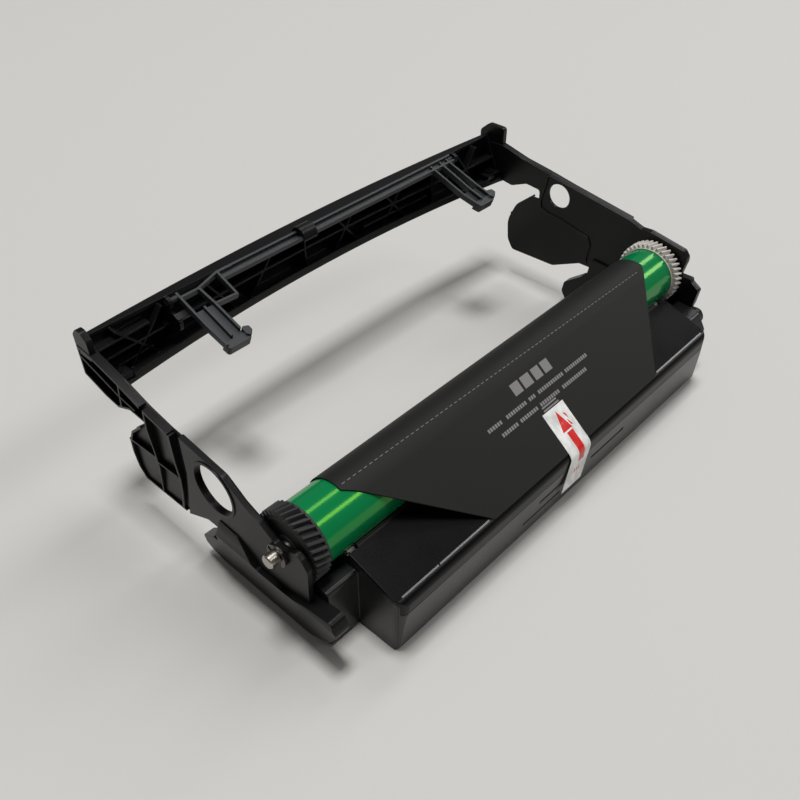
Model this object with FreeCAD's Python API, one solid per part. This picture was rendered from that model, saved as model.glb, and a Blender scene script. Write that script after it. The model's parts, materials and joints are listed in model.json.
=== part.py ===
import FreeCAD, Part
import math
import os

# Photoconductor drum unit of a laser printer, in millimetres.
# X runs along the drum axis, with the drive gear at the negative end.
# Y runs from the waste toner box at the front to the cross beam at the back.
# Z is up, the unit stands on Z = 0, and the origin lies under the middle of the drum axis.

V = FreeCAD.Vector

# Drum
DRUM_LENGTH = 254.0
DRUM_R = 15.0
DRUM_WALL = 0.9
AXIS_Z = 46.0
HUB_INSERT = 8.0

# Shaft
SHAFT_R = 3.1
SHAFT_FREE = 5.9
SHAFT_CHAMFER = 0.6
RUN_GAP = 0.05
RING_R = 5.4
RING_WALL = 0.9
RING_GROOVE = 0.6
RING_OFFSET = 0.3
RING_MOUTH = 2.6

# Gears
GEAR_MODULE = 1.0
DRIVE_TEETH = 32
DRIVE_WIDTH = 7.1
DRIVE_RIM = 0.5
DRIVE_CAP = 2.5
DRIVE_RIM_R = 15.9
DRIVE_TWIST = 8.0
END_TEETH = 39
END_WIDTH = 4.2
END_RIM = 2.6
END_CAP = 1.0
END_RIM_R = 16.7
END_TWIST = -4.0
TOOTH_HEIGHT = 2.25
TIP_SHARE = 0.14
ROOT_SHARE = 0.36
GEAR_WEB = 2.2
GEAR_RING = 2.6
HUB_R = 6.0

# Side plates
PLATE_SPACE = 10.0
PLATE_WALL = 2.4
RIB_DEPTH = 3.2
RIB_WALL = 1.5
WINDOW_R = 10.2
WINDOW_Y = 38.3
WINDOW_Z = 8.0
WINDOW_RIM = 1.6
PORT_R = 7.3
PORT_Y = 67.0
PORT_Z = 19.7
PAD = 1.0
LUG_DEPTH = 9.0
SHOE_INNER = 3.0
SHOE_OUTER = 3.0
KEEL_HEIGHT = 9.0
KEEL_DEPTH = 4.5

# Cross beam
BEAM_TOP = 86.5
BEAM_HEIGHT = 25.5
BEAM_BACK = 124.0
BEAM_BACK_BOW = 5.6
BEAM_FRONT = 110.2
BEAM_FRONT_BOW = 8.4
BEAM_WALL = 2.0
BEAM_RIB = 1.2
BEAM_RIB_DEPTH = 6.0
BEAM_LEDGE = 121.6
LIP_HEIGHT = 2.2
TAB_WALL = 3.5
TAB_HALF = 4.5
TAB_DEPTH = 12.0
TAB_GAP = 0.2

# Guide lever
LEVER_Y = 118.0
LEVER_Z = 85.5
LEVER_SLOPE = 22.4
LEVER_REACH = 35.6
LEVER_RIB = 1.3
LEVER_LOW = 2.0
LEVER_HIGH = 1.5
LEVER_PLATE = 1.3
BAR_HALF = 2.7
TRUNNION_R = 1.35
EAR_WALL = 2.0
EAR_R = 3.0
LEFT_EAR = -98.4
RIGHT_EAR = 98.2
CLIP_X = -14.5
CLIP_WIDTH = 9.0
CLIP_WALL = 1.3
CLIP_GAP = 0.5
REST_GAP = 0.2

# Waste toner box
BOX_LEFT = -118.0
BOX_RIGHT = 121.0
BOX_WALL = 2.0
BOX_FRONT = -44.4
BOX_FOOT = -42.5
BOX_REAR = 27.4
BOX_REAR_TOP = 33.5
BOX_SEAM = 24.0
BOX_FOOT_R = 3.0
COVER_WALL = 1.8
COVER_Y = -42.0
COVER_Z = 32.3
COVER_SLOPE = 17.5
COVER_LENGTH = 26.9
COVER_CORNER_R = 4.5
END_GAP = 1.2
SHOULDER_FRONT = -21.0
SHOULDER_TOP = 34.0
GEAR_GAP = 1.4

# Blade
BRACKET_WALL = 1.2
BRACKET_START = 8.0
BRACKET_END = 24.0
BRACKET_LEG = 5.0
BLADE_WALL = 1.5
BLADE_START = 19.5
BLADE_GAP = 0.2
BLADE_COVER_GAP = 0.1
SEAL_WALL = 2.0
SEAL_WIDTH = 4.0
SEAL_GAP = 0.3

# Charge roller
ROLLER_R = 6.0
ROLLER_ANGLE = 125.0
ROLLER_GAP = 0.07
ROLLER_HALF = 108.0
CORE_R = 3.0
CORE_HALF = 114.5
BEARING_WIDTH = 4.0
BEARING_HALF = 4.5
BEARING_DROP = 6.5
SPRING_HEIGHT = 3.0
SPRING_WALL = 0.3
CARRIER_WALL = 1.6
CARRIER_FRONT = -8.0
CARRIER_LIP = 28.4
CARRIER_REAR_TOP = 33.0
CARRIER_GAP = 0.2
FILM_WALL = 0.25

# Protective sheet and tape
SHEET_LEFT = -109.0
SHEET_RIGHT = 111.0
SHEET_WALL = 0.4
SHEET_GAP = 0.35
SHEET_CORNER_GAP = 0.1
SHEET_WRAP = 104.0
SHEET_TAPER_TOP = -4.0
FLAP_LEFT = -58.5
FLAP_RIGHT = 70.0
TAPE_WIDTH = 15.4
TAPE_WALL = 0.2
TAPE_LENGTH = 21.0
TAPE_LEFT = -5.4
TAPE_END_Z = 10.8
TAPE_LEAN = 4.6

# Screws
SCREW_R = 1.5
SCREW_HEAD_R = 2.8
SCREW_HEAD = 1.5
SCREW_LENGTH = 7.0
SCREW_SLOT = 0.5
BEAM_SCREW_Y = 115.3
BEAM_SCREW_INSET = 6.5
PLATE_SCREW_Y = 25.0
PLATE_SCREW_INSET = 7.0

# Worked out from the above
DRUM_HALF = DRUM_LENGTH / 2
PLATE_IN = DRUM_HALF + PLATE_SPACE
PLATE_OUT = PLATE_IN + PLATE_WALL
SHOE_IN = PLATE_IN - SHOE_INNER
SHOE_OUT = PLATE_IN + SHOE_OUTER
RIB_OUT = PLATE_OUT + RIB_DEPTH
SHAFT_HALF = PLATE_OUT + SHAFT_FREE
BORE_R = SHAFT_R + RUN_GAP
TUBE_R = DRUM_R - DRUM_WALL
DRIVE_R = GEAR_MODULE * (DRIVE_TEETH + 2) / 2
END_R = GEAR_MODULE * (END_TEETH + 2) / 2
BEAM_BOTTOM = BEAM_TOP - BEAM_HEIGHT
ROLLER_REACH = DRUM_R + ROLLER_R + ROLLER_GAP
ROLLER_Y = ROLLER_REACH * math.sin(math.radians(ROLLER_ANGLE))
ROLLER_Z = AXIS_Z + ROLLER_REACH * math.cos(math.radians(ROLLER_ANGLE))
CARRIER_FLOOR = ROLLER_Z - BEARING_DROP - SPRING_HEIGHT
CARRIER_BASE = CARRIER_FLOOR - CARRIER_WALL
CARRIER_REAR = BOX_REAR - BOX_WALL - CARRIER_GAP
SHEET_R = DRUM_R + SHEET_GAP

LEFT = -1
RIGHT = 1


# Helpers

def corner(before, here, after, radius):
    """Start, middle and end of the arc that rounds one corner of an outline."""
    to_before = (before - here).normalize()
    to_after = (after - here).normalize()
    half = to_before.getAngle(to_after) / 2
    shorter = min((before - here).Length, (after - here).Length)
    reach = min(radius / math.tan(half), 0.48 * shorter)
    radius = reach * math.tan(half)
    bisector = (to_before + to_after).normalize()
    centre = here + bisector * (radius / math.sin(half))
    return here + to_before * reach, centre - bisector * radius, here + to_after * reach


def outline(points, place):
    """Closed wire through points (a, b) or (a, b, corner radius)."""
    spots = [place(p[0], p[1]) for p in points]
    radii = [p[2] if len(p) > 2 else 0 for p in points]
    edges = []
    ends = []
    for i, spot in enumerate(spots):
        if radii[i]:
            start, middle, end = corner(spots[i - 1], spot, spots[(i + 1) % len(spots)], radii[i])
            edges.append(Part.Arc(start, middle, end).toShape())
            ends.append((start, end))
        else:
            edges.append(None)
            ends.append((spot, spot))
    wire = []
    for i, edge in enumerate(edges):
        if edge:
            wire.append(edge)
        leave = ends[i][1]
        arrive = ends[(i + 1) % len(ends)][0]
        if leave.distanceToPoint(arrive) > 1e-6:
            wire.append(Part.makeLine(leave, arrive))
    return Part.Wire(wire)


def prism(points, place, along):
    """Solid that pushes an outline along a vector."""
    return Part.Face(outline(points, place)).extrude(along)


def across(points, x_from, x_to):
    """Prism along X, from points (y, z)."""
    return prism(points, lambda y, z: V(x_from, y, z), V(x_to - x_from, 0, 0))


def upright(points, z_from, z_to):
    """Prism along Z, from points (x, y)."""
    return prism(points, lambda x, y: V(x, y, z_from), V(0, 0, z_to - z_from))


def deep(points, y_from, y_to):
    """Prism along Y, from points (x, z)."""
    return prism(points, lambda x, z: V(x, y_from, z), V(0, y_to - y_from, 0))


def slab(points, side, inner, outer):
    """Prism of one side plate, between two distances from the middle of the unit."""
    return across(points, side * inner, side * outer)


def box(x_from, x_to, y_from, y_to, z_from, z_to):
    """Block between two corners."""
    return Part.makeBox(x_to - x_from, y_to - y_from, z_to - z_from, V(x_from, y_from, z_from))


def rod(radius, x_from, x_to, y=0.0, z=AXIS_Z):
    """Cylinder along X."""
    low, high = sorted((x_from, x_to))
    return Part.makeCylinder(radius, high - low, V(low, y, z), V(1, 0, 0))


def tube(outer, inner, x_from, x_to, y=0.0, z=AXIS_Z):
    """Hollow cylinder along X."""
    return rod(outer, x_from, x_to, y, z).cut(rod(inner, x_from - 1, x_to + 1, y, z))


def band(path, width):
    """Outline of a strip of constant width along an open path of points (a, b)."""
    near, far = [], []
    for i, (a, b) in enumerate(path):
        before = path[max(i - 1, 0)]
        after = path[min(i + 1, len(path) - 1)]
        ways = []
        for start, end in ((before, (a, b)), ((a, b), after)):
            length = math.hypot(end[0] - start[0], end[1] - start[1])
            if length:
                ways.append(((end[0] - start[0]) / length, (end[1] - start[1]) / length))
        mean = (sum(w[0] for w in ways) / len(ways), sum(w[1] for w in ways) / len(ways))
        scale = width / 2 / (mean[0] ** 2 + mean[1] ** 2)
        near.append((a - mean[1] * scale, b + mean[0] * scale))
        far.append((a + mean[1] * scale, b - mean[0] * scale))
    return near + far[::-1]


def above_axis(points):
    """Points whose height is given from the drum axis."""
    return [(p[0], p[1] + AXIS_Z) + tuple(p[2:]) for p in points]


def fused(first, others):
    """One solid from several that touch."""
    return first.multiFuse(others).removeSplitter()


def arc_strip(inner, outer, start, end, x_from, x_to, y=0.0, z=AXIS_Z):
    """Curved strip along X, between two angles counted from the top towards the back."""
    def spot(radius, angle):
        turn = math.radians(angle)
        return V(x_from, y + radius * math.sin(turn), z + radius * math.cos(turn))
    middle = (start + end) / 2
    edges = [
        Part.Arc(spot(outer, start), spot(outer, middle), spot(outer, end)).toShape(),
        Part.makeLine(spot(outer, end), spot(inner, end)),
        Part.Arc(spot(inner, end), spot(inner, middle), spot(inner, start)).toShape(),
        Part.makeLine(spot(inner, start), spot(outer, start)),
    ]
    return Part.Face(Part.Wire(edges)).extrude(V(x_to - x_from, 0, 0))


# Side plates

REAR_EDGE = [
    (27.0, 23.7), (45.0, 26.4), (89.0, 32.6, 8), (108.5, 40.2, 1), (107.6, 49.2, 2), (115.5, 51.2, 2),
    (121.0, 46.8, 1.5), (125.5, 41.8, 2), (124.6, 36.0), (123.6, 20.2, 4), (101.0, 14.8, 5),
    (90.6, 19.4, 4), (80.6, 18.6, 2), (81.6, 12.0, 1.5), (87.5, 12.2, 3), (97.8, 3.0, 9),
    (103.6, -11.0, 12), (101.6, -22.0, 6), (96.6, -28.7, 2), (66.0, -27.4, 6), (48.5, -18.6, 1.5),
    (40.5, -19.0, 2), (35.5, -22.0, 1.5), (34.0, -31.0),
]
LEFT_FRONT = [
    (-12.0, -31.0), (-15.4, -18.0), (-15.3, -11.0), (-17.2, 1.0, 3), (-14.8, 8.0, 2.5), (-11.0, 8.6, 3),
    (-4.4, 5.0, 3), (1.0, 5.2, 3), (10.6, 15.1, 4),
]
RIGHT_FRONT = [
    (-24.0, -31.0), (-25.9, -12.5), (-27.0, -2.9, 1.5), (-22.0, -0.4, 1), (-21.4, 2.0, 1), (-17.0, 5.0, 2),
    (-18.6, 13.0), (-18.7, 17.0, 2), (-15.9, 19.6, 2), (4.7, 22.8, 1), (9.8, 21.8, 1), (17.3, 23.0, 1),
]
SHOE_TOP = [
    (-29.5, -15.6, 3), (-15.8, -17.3, 2), (-3.8, -20.0, 4), (14.6, -20.8, 3), (26.7, -10.8, 3),
    (38.6, -9.9, 2), (40.6, -24.0, 1), (44.0, -24.3, 2), (57.2, -32.4, 2),
]
SHOE_FOOT = [(58.2, 7.0, 3), (53.5, 2.4, 3), (46.5, 0.0, 5), (-10.0, 0.0, 10), (-24.5, 10.5, 8), (-32.5, 24.5, 4)]
STEP_LINE = [
    (75.4, 30.4), (77.0, 23.0), (79.2, 12.7, 2), (78.7, 8.3, 2), (73.3, 6.3), (64.6, 5.7), (53.6, 3.3),
    (44.2, 1.1, 2), (42.2, -2.7, 2), (43.4, -12.0), (42.9, -15.2, 2), (34.0, -18.0),
]
RIB_PATHS = [
    [(75.8, 29.4), (76.6, 16.0), (73.0, 0.4), (73.4, -14.0), (72.0, -27.0)],
    [(57.2, 27.0), (58.4, 2.0), (57.6, -16.0), (56.6, -22.6)],
    [(73.0, 1.2), (58.4, 0.2)],
    [(118.6, 33.4), (93.5, 27.4), (76.4, 22.9)],
    [(101.6, -8.0), (73.2, -6.5)],
]
EDGE_PATHS = [
    [(124.4, 40.5), (122.8, 21.0), (101.3, 15.8), (90.8, 20.4), (81.2, 19.6)],
    [(108.5, 39.0), (89.0, 31.7), (57.2, 27.4), (45.0, 25.4)],
    [(102.6, -12.0), (100.8, -21.6), (96.2, -27.8), (66.4, -26.4), (49.0, -17.8)],
]
LEFT_PATHS = [
    [(45.0, 25.4), (27.4, 22.8), (15.5, 17.4), (9.6, 9.6), (2.7, 4.0)],
    [(-2.6, -3.4), (-15.2, -12.2)],
    [(25.4, 11.0), (20.6, 4.8), (19.8, -3.0), (22.4, -9.6), (27.0, -11.6)],
]
ARM_WINDOW = [(121.0, 26.6, 1), (103.4, 22.0, 1), (106.4, 18.6, 1), (120.2, 21.4, 1)]
LUG = [(108.5, 40.5), (107.6, 49.2, 2), (115.5, 51.2, 2), (121.0, 46.8, 1.5), (125.5, 41.8, 2), (125.2, 40.5)]


def shoe(side):
    """Runner that carries the plate on the table, with a keel that narrows downwards."""
    solid = slab(above_axis(SHOE_TOP) + SHOE_FOOT, side, SHOE_IN, SHOE_OUT)
    keel = SHOE_OUT - KEEL_DEPTH
    cutter = Part.Wire([
        Part.Arc(
            V(side * SHOE_OUT, 0, KEEL_HEIGHT),
            V(side * (SHOE_OUT - KEEL_DEPTH * 0.35), 0, KEEL_HEIGHT * 0.3),
            V(side * keel, 0, 0),
        ).toShape(),
        Part.makeLine(V(side * keel, 0, 0), V(side * keel, 0, -1)),
        Part.makeLine(V(side * keel, 0, -1), V(side * (SHOE_OUT + 1), 0, -1)),
        Part.makeLine(V(side * (SHOE_OUT + 1), 0, -1), V(side * (SHOE_OUT + 1), 0, KEEL_HEIGHT)),
        Part.makeLine(V(side * (SHOE_OUT + 1), 0, KEEL_HEIGHT), V(side * SHOE_OUT, 0, KEEL_HEIGHT)),
    ])
    length = V(0, 2 * BEAM_BACK, 0)
    return solid.cut(Part.Face(cutter).extrude(length).translate(V(0, -BEAM_BACK, 0)))


def side_plate(side, front, paths):
    """Side plate without its own openings: web, runner, outer ribs, lug and tabs."""
    solid = slab(above_axis(REAR_EDGE + front), side, PLATE_IN, PLATE_OUT)
    parts = [shoe(side)]
    for path in paths:
        parts.append(slab(band(above_axis(path), RIB_WALL), side, PLATE_OUT, RIB_OUT))
    parts.append(slab(above_axis(LUG), side, PLATE_IN - LUG_DEPTH, RIB_OUT))
    parts.append(beam_tab(side))
    parts.append(box_tab(side))
    solid = fused(solid, parts)
    solid = solid.cut(slab(above_axis(ARM_WINDOW), side, PLATE_IN - 1, PLATE_OUT + 1))
    for hole in (beam_screw_place(side), plate_screw_place(side)):
        solid = solid.cut(Part.makeCylinder(SCREW_R, SCREW_LENGTH, hole, V(0, 0, -1)))
    solid = solid.cut(rod(RING_R + 2 * RING_OFFSET, side * PLATE_OUT, side * (RIB_OUT + 1)))
    return solid.cut(rod(SHAFT_R, side * (SHOE_IN - 1), side * (RIB_OUT + 1)))


def beam_tab(side, gap=0.0):
    """Foot of the plate that lies on the lower flange of the beam and takes its screw."""
    low = BEAM_BOTTOM + BEAM_WALL
    points = [(BEAM_SCREW_Y - TAB_HALF - gap, low), (BEAM_SCREW_Y + TAB_HALF + gap, low),
              (BEAM_SCREW_Y + TAB_HALF + gap, low + TAB_WALL + gap), (BEAM_SCREW_Y - TAB_HALF - gap, low + TAB_WALL + gap)]
    return slab(points, side, PLATE_IN - TAB_DEPTH - gap, PLATE_IN)


def box_tab(side):
    """Foot that lies on the shoulder of the waste toner box, behind the gear."""
    top = shoulder_rear_top(side)
    points = [(PLATE_SCREW_Y - 3.5, top), (PLATE_SCREW_Y + 3.5, top),
              (PLATE_SCREW_Y + 3.5, top + BOX_WALL, 1), (PLATE_SCREW_Y - 3.5, top + BOX_WALL, 1)]
    return slab(points, side, SHOE_IN - TAB_DEPTH + SHOE_INNER, PLATE_IN)


def left_side_plate():
    """Near plate, with the big round window and a raised rim round it."""
    solid = side_plate(LEFT, LEFT_FRONT, RIB_PATHS + EDGE_PATHS + LEFT_PATHS)
    rim = rod(WINDOW_R + WINDOW_RIM, -PLATE_OUT, -(PLATE_OUT + RIB_DEPTH / 2), WINDOW_Y, AXIS_Z + WINDOW_Z)
    hole = rod(WINDOW_R, -(RIB_OUT + 1), -(SHOE_IN - 1), WINDOW_Y, AXIS_Z + WINDOW_Z)
    return fused(solid, [rim]).cut(hole)


def right_side_plate():
    """Far plate, with a small round window and a stepped inner face."""
    solid = side_plate(RIGHT, RIGHT_FRONT, RIB_PATHS + EDGE_PATHS)
    pad = slab(above_axis(STEP_LINE + RIGHT_FRONT), RIGHT, PLATE_IN - PAD, PLATE_IN)
    hole = rod(PORT_R, PLATE_IN - 2, RIB_OUT + 1, PORT_Y, AXIS_Z + PORT_Z)
    solid = fused(solid, [pad]).cut(hole)
    return solid.cut(rod(SHAFT_R, SHOE_IN - 1, RIB_OUT + 1))


# Cross beam

def bow(y_end, sagitta, x):
    """Depth of a bowed edge of the beam at one place along it."""
    return y_end + sagitta * (1 - (x / PLATE_IN) ** 2)


def bowed_face(back, back_bow, front, front_bow, z):
    """Flat face between two bowed edges of the beam."""
    def arc(y_end, sagitta):
        start = V(-PLATE_IN, y_end, z)
        end = V(PLATE_IN, y_end, z)
        if not sagitta:
            return Part.makeLine(start, end)
        return Part.Arc(start, V(0, y_end + sagitta, z), end).toShape()
    ends = [Part.makeLine(V(x, front, z), V(x, back, z)) for x in (-PLATE_IN, PLATE_IN)]
    return Part.Face(Part.Wire(Part.__sortEdges__([arc(back, back_bow), arc(front, front_bow)] + ends)))


def bowed_slab(back, back_bow, front, front_bow, z_from, z_to):
    """Bowed layer of the beam between two heights."""
    return bowed_face(back, back_bow, front, front_bow, z_from).extrude(V(0, 0, z_to - z_from))


def lattice():
    """Thin ribs that stiffen the back wall of the beam: crossed diagonals and stringers."""
    inner_low = BEAM_BOTTOM + BEAM_WALL
    inner_high = BEAM_TOP - BEAM_WALL
    stringer = (inner_low + inner_high) / 2
    paths = []
    for x_low, x_high in BEAM_DIAGONALS:
        paths.append([(x_low, inner_low - 0.5), (x_high, inner_high + 0.5)])
    for x_from, x_to, share in BEAM_STRINGERS:
        height = inner_low + share * (inner_high - inner_low)
        paths.append([(x_from, height), (x_to, height)])
    paths.append([(-PLATE_IN + 0.5, stringer), (PLATE_IN - 0.5, stringer)])
    ribs = [deep(band(path, BEAM_RIB), BEAM_FRONT, BEAM_BACK + BEAM_BACK_BOW) for path in paths]
    room = bowed_slab(BEAM_BACK - BEAM_WALL / 2, BEAM_BACK_BOW,
                      BEAM_BACK - BEAM_WALL - BEAM_RIB_DEPTH, BEAM_BACK_BOW, inner_low - 0.5, inner_high + 0.5)
    sweep = rod(math.hypot(BAR_HALF, LEVER_HIGH) + CLIP_GAP, LEFT_EAR, RIGHT_EAR, LEVER_Y, LEVER_Z)
    return [rib.common(room).cut(sweep) for rib in ribs]


BEAM_DIAGONALS = [
    (-122.0, -100.0), (-106.0, -126.0), (-60.0, -76.0), (-50.0, -30.0), (-12.0, -12.0), (8.0, 26.0),
    (26.0, 8.0), (44.0, 62.0), (62.0, 44.0), (84.0, 84.0), (104.0, 120.0), (120.0, 104.0),
]
BEAM_STRINGERS = [(-PLATE_IN + 0.5, -108.0, 0.8), (-PLATE_IN + 0.5, -108.0, 0.2), (30.0, 80.0, 0.25)]


def ear(x_from):
    """Plate on the beam that carries one end of the guide lever."""
    back = bow(BEAM_BACK, BEAM_BACK_BOW, x_from) - BEAM_WALL / 2
    solid = rod(EAR_R, x_from, x_from + EAR_WALL, LEVER_Y, LEVER_Z)
    arm = box(x_from, x_from + EAR_WALL, LEVER_Y, back, LEVER_Z - EAR_R, BEAM_TOP)
    return solid.fuse(arm)


def lever_rest():
    """Curved hook under the left arm of the guide lever, where the lever comes to rest."""
    finger = box(0, 7.0, -9.5, -5.5, -LEVER_LOW - REST_GAP - 1.6, -LEVER_LOW - REST_GAP)
    finger = finger.translate(V(LEFT_EAR, 0, 0))
    finger = lever_pose(finger)
    back = bow(BEAM_BACK, BEAM_BACK_BOW, LEFT_EAR) - BEAM_WALL / 2
    low = BEAM_BOTTOM + BEAM_WALL - 0.5
    cheek = across([(back, LEVER_Z - 2.6), (LEVER_Y - 4.0, LEVER_Z - 4.4, 1), (LEVER_Y - 8.6, LEVER_Z - 6.4, 1),
                    (LEVER_Y - 8.2, LEVER_Z - 11.0, 2), (LEVER_Y - 3.0, LEVER_Z - 15.0, 5), (back, low)],
                   LEFT_EAR, LEFT_EAR + EAR_WALL)
    return cheek.fuse(finger)


def bar_clip():
    """Open clip that keeps the bar of the guide lever on the beam."""
    inner = math.hypot(BAR_HALF, LEVER_HIGH) + CLIP_GAP
    return arc_strip(inner, inner + CLIP_WALL, -110, 92, CLIP_X - CLIP_WIDTH / 2, CLIP_X + CLIP_WIDTH / 2,
                     LEVER_Y, LEVER_Z)


def rear_cross_beam():
    """Bowed channel that joins the side plates at the back."""
    web = bowed_slab(BEAM_BACK, BEAM_BACK_BOW, BEAM_BACK - BEAM_WALL, BEAM_BACK_BOW, BEAM_BOTTOM, BEAM_TOP)
    top = bowed_slab(BEAM_BACK, BEAM_BACK_BOW, BEAM_LEDGE, 0, BEAM_TOP - BEAM_WALL, BEAM_TOP)
    foot = bowed_slab(BEAM_BACK, BEAM_BACK_BOW, BEAM_FRONT, BEAM_FRONT_BOW, BEAM_BOTTOM, BEAM_BOTTOM + BEAM_WALL)
    lip = bowed_slab(BEAM_FRONT + BEAM_RIB, BEAM_FRONT_BOW, BEAM_FRONT, BEAM_FRONT_BOW,
                     BEAM_BOTTOM, BEAM_BOTTOM + BEAM_WALL + LIP_HEIGHT)
    parts = [top, foot, lip, ear(LEFT_EAR), ear(RIGHT_EAR), lever_rest(), bar_clip()] + lattice()
    for side in (LEFT, RIGHT):
        wall = slab([(BEAM_BACK - 0.5, BEAM_BOTTOM), (BEAM_FRONT, BEAM_BOTTOM), (BEAM_LEDGE - 3.0, BEAM_TOP - 8.0, 4),
                     (BEAM_LEDGE, BEAM_TOP), (BEAM_BACK - 0.5, BEAM_TOP)], side, PLATE_IN - BEAM_WALL, PLATE_IN)
        parts.append(wall)
    solid = fused(web, parts)
    bore = rod(TRUNNION_R + RUN_GAP, LEFT_EAR - 1, RIGHT_EAR + EAR_WALL + 1, LEVER_Y, LEVER_Z)
    solid = solid.cut(bore.common(box(LEFT_EAR - 1, LEFT_EAR + EAR_WALL + 1, 0, 200, 0, 200)))
    solid = solid.cut(bore.common(box(RIGHT_EAR - 1, RIGHT_EAR + EAR_WALL + 1, 0, 200, 0, 200)))
    for side in (LEFT, RIGHT):
        solid = solid.cut(beam_tab(side, TAB_GAP))
        seat = beam_screw_place(side)
        solid = solid.cut(Part.makeCylinder(SCREW_R, SCREW_LENGTH, seat, V(0, 0, -1)))
        solid = solid.cut(Part.makeCylinder(SCREW_HEAD_R + TAB_GAP, SCREW_HEAD + 1, seat))
    return solid


# Guide lever

def lever_pose(shape):
    """Turns a shape that lies flat round the X axis to the rest pose of the guide lever."""
    turned = shape.copy()
    turned.rotate(V(0, 0, 0), V(1, 0, 0), LEVER_SLOPE)
    return turned.translate(V(0, LEVER_Y, LEVER_Z))


def flat_strip(path, width, low, high):
    """Strip of the lever, from points (x, reach in front of the axis), between two heights."""
    return upright(band([(x, -reach) for x, reach in path], width), low, high)


def flat_plate(points, low, high):
    """Plate of the lever, from points (x, reach in front of the axis, corner radius)."""
    return upright([(p[0], -p[1]) + tuple(p[2:]) for p in points], low, high)


def lever_arm(paths, paddle, tip, lip):
    """One arm of the lever: ribs, paddle, thick tip and a small lip."""
    parts = [flat_strip(path, LEVER_RIB, -LEVER_LOW, LEVER_HIGH) for path in paths]
    parts.append(flat_plate(paddle, -LEVER_LOW, LEVER_PLATE - LEVER_LOW))
    parts.append(flat_plate(tip, -LEVER_LOW - 2.6, 0.4))
    parts.append(flat_plate(lip, -LEVER_LOW, LEVER_HIGH))
    return parts


LEFT_ARM_RIBS = [
    [(-91.7, -1.8), (-91.3, 20.0), (-90.2, 33.5)],
    [(-81.2, 1.4), (-80.2, 12.0), (-79.6, 29.0)],
    [(-85.6, 10.8), (-85.2, 30.5)],
    [(-92.0, 1.4), (-82.0, 1.4), (-69.0, -1.9), (-60.0, -1.9)],
    [(-68.2, -1.6), (-68.2, 12.8), (-80.0, 12.2)],
]
LEFT_PADDLE = [(-91.8, 11.0), (-79.4, 11.0), (-79.0, 33.5), (-90.4, 33.5)]
LEFT_TIP = [(-90.6, LEVER_REACH - 4.2), (-77.6, LEVER_REACH - 4.2, 1), (-77.6, LEVER_REACH, 1),
            (-90.2, LEVER_REACH, 1.5)]
LEFT_LIP = [(-79.0, 28.6, 1), (-75.4, 30.0, 1), (-75.4, 32.6, 1), (-77.6, LEVER_REACH - 0.6, 1), (-79.4, 33.0)]
RIGHT_ARM_RIBS = [
    [(80.6, -0.8), (81.6, 12.0), (82.4, 24.0), (84.6, 33.0)],
    [(88.0, -0.8), (88.8, 12.0), (89.4, 24.0), (90.4, 32.0)],
    [(93.4, -0.8), (94.6, 12.0), (95.6, 24.0), (97.0, 32.0)],
]
RIGHT_PADDLE = [(81.6, 23.0), (95.8, 23.0), (97.0, 33.5), (85.6, 33.5)]
RIGHT_TIP = [(84.6, LEVER_REACH - 4.2), (97.6, LEVER_REACH - 4.2, 1), (97.6, LEVER_REACH, 1),
             (86.2, LEVER_REACH, 1.5)]
RIGHT_LIP = [(96.0, 28.6, 1), (100.8, 29.6, 1), (101.6, 32.2, 1), (98.0, LEVER_REACH - 0.6, 1), (96.0, 33.0)]


def guide_lever():
    """Bar along the beam with an arm near each end, which swings about its trunnions."""
    bar_from = -69.0
    bar_to = RIGHT_EAR - REST_GAP
    plate = upright([(bar_from, -BAR_HALF), (bar_to, -BAR_HALF), (bar_to, BAR_HALF), (bar_from, BAR_HALF)],
                    -LEVER_HIGH, LEVER_PLATE - LEVER_HIGH)
    parts = []
    for reach in (-BAR_HALF + LEVER_RIB / 2, BAR_HALF - LEVER_RIB / 2):
        parts.append(flat_strip([(bar_from, reach), (bar_to, reach)], LEVER_RIB, -LEVER_HIGH, LEVER_HIGH))
    parts += lever_arm(LEFT_ARM_RIBS, LEFT_PADDLE, LEFT_TIP, LEFT_LIP)
    parts += lever_arm(RIGHT_ARM_RIBS, RIGHT_PADDLE, RIGHT_TIP, RIGHT_LIP)
    for start, end in ((LEFT_EAR, LEFT_ARM_RIBS[0][0][0]), (bar_to - 3.0, RIGHT_EAR + EAR_WALL)):
        parts.append(rod(TRUNNION_R, start, end, 0, 0))
    return lever_pose(fused(plate, parts))


# Waste toner box

def cover_spot(along, off):
    """Point under or over the sloping cover, from its front edge and its outer face."""
    turn = math.radians(COVER_SLOPE)
    return (COVER_Y + along * math.cos(turn) - off * math.sin(turn),
            COVER_Z + along * math.sin(turn) + off * math.cos(turn))


def cover_line_at(y, off):
    """Height of a line parallel to the cover, at one depth."""
    turn = math.radians(COVER_SLOPE)
    return COVER_Z + (y - COVER_Y) * math.tan(turn) + off / math.cos(turn)


def gear_room(side):
    """Space that the gear of one side needs in the shoulder of the box."""
    reach = side * (PLATE_OUT + 1)
    drum = rod(DRUM_R + END_GAP, 0, reach)
    if side == LEFT:
        return drum.fuse(rod(DRIVE_R + GEAR_GAP, BOX_LEFT - END_GAP, reach))
    return drum.fuse(rod(END_R + GEAR_GAP, BOX_RIGHT + END_GAP, reach))


def shoulder_rear_top(side):
    """Height of the rear part of a shoulder, where the plate's foot lies on it."""
    return AXIS_Z - (16.0 if side == LEFT else 18.0)


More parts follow.
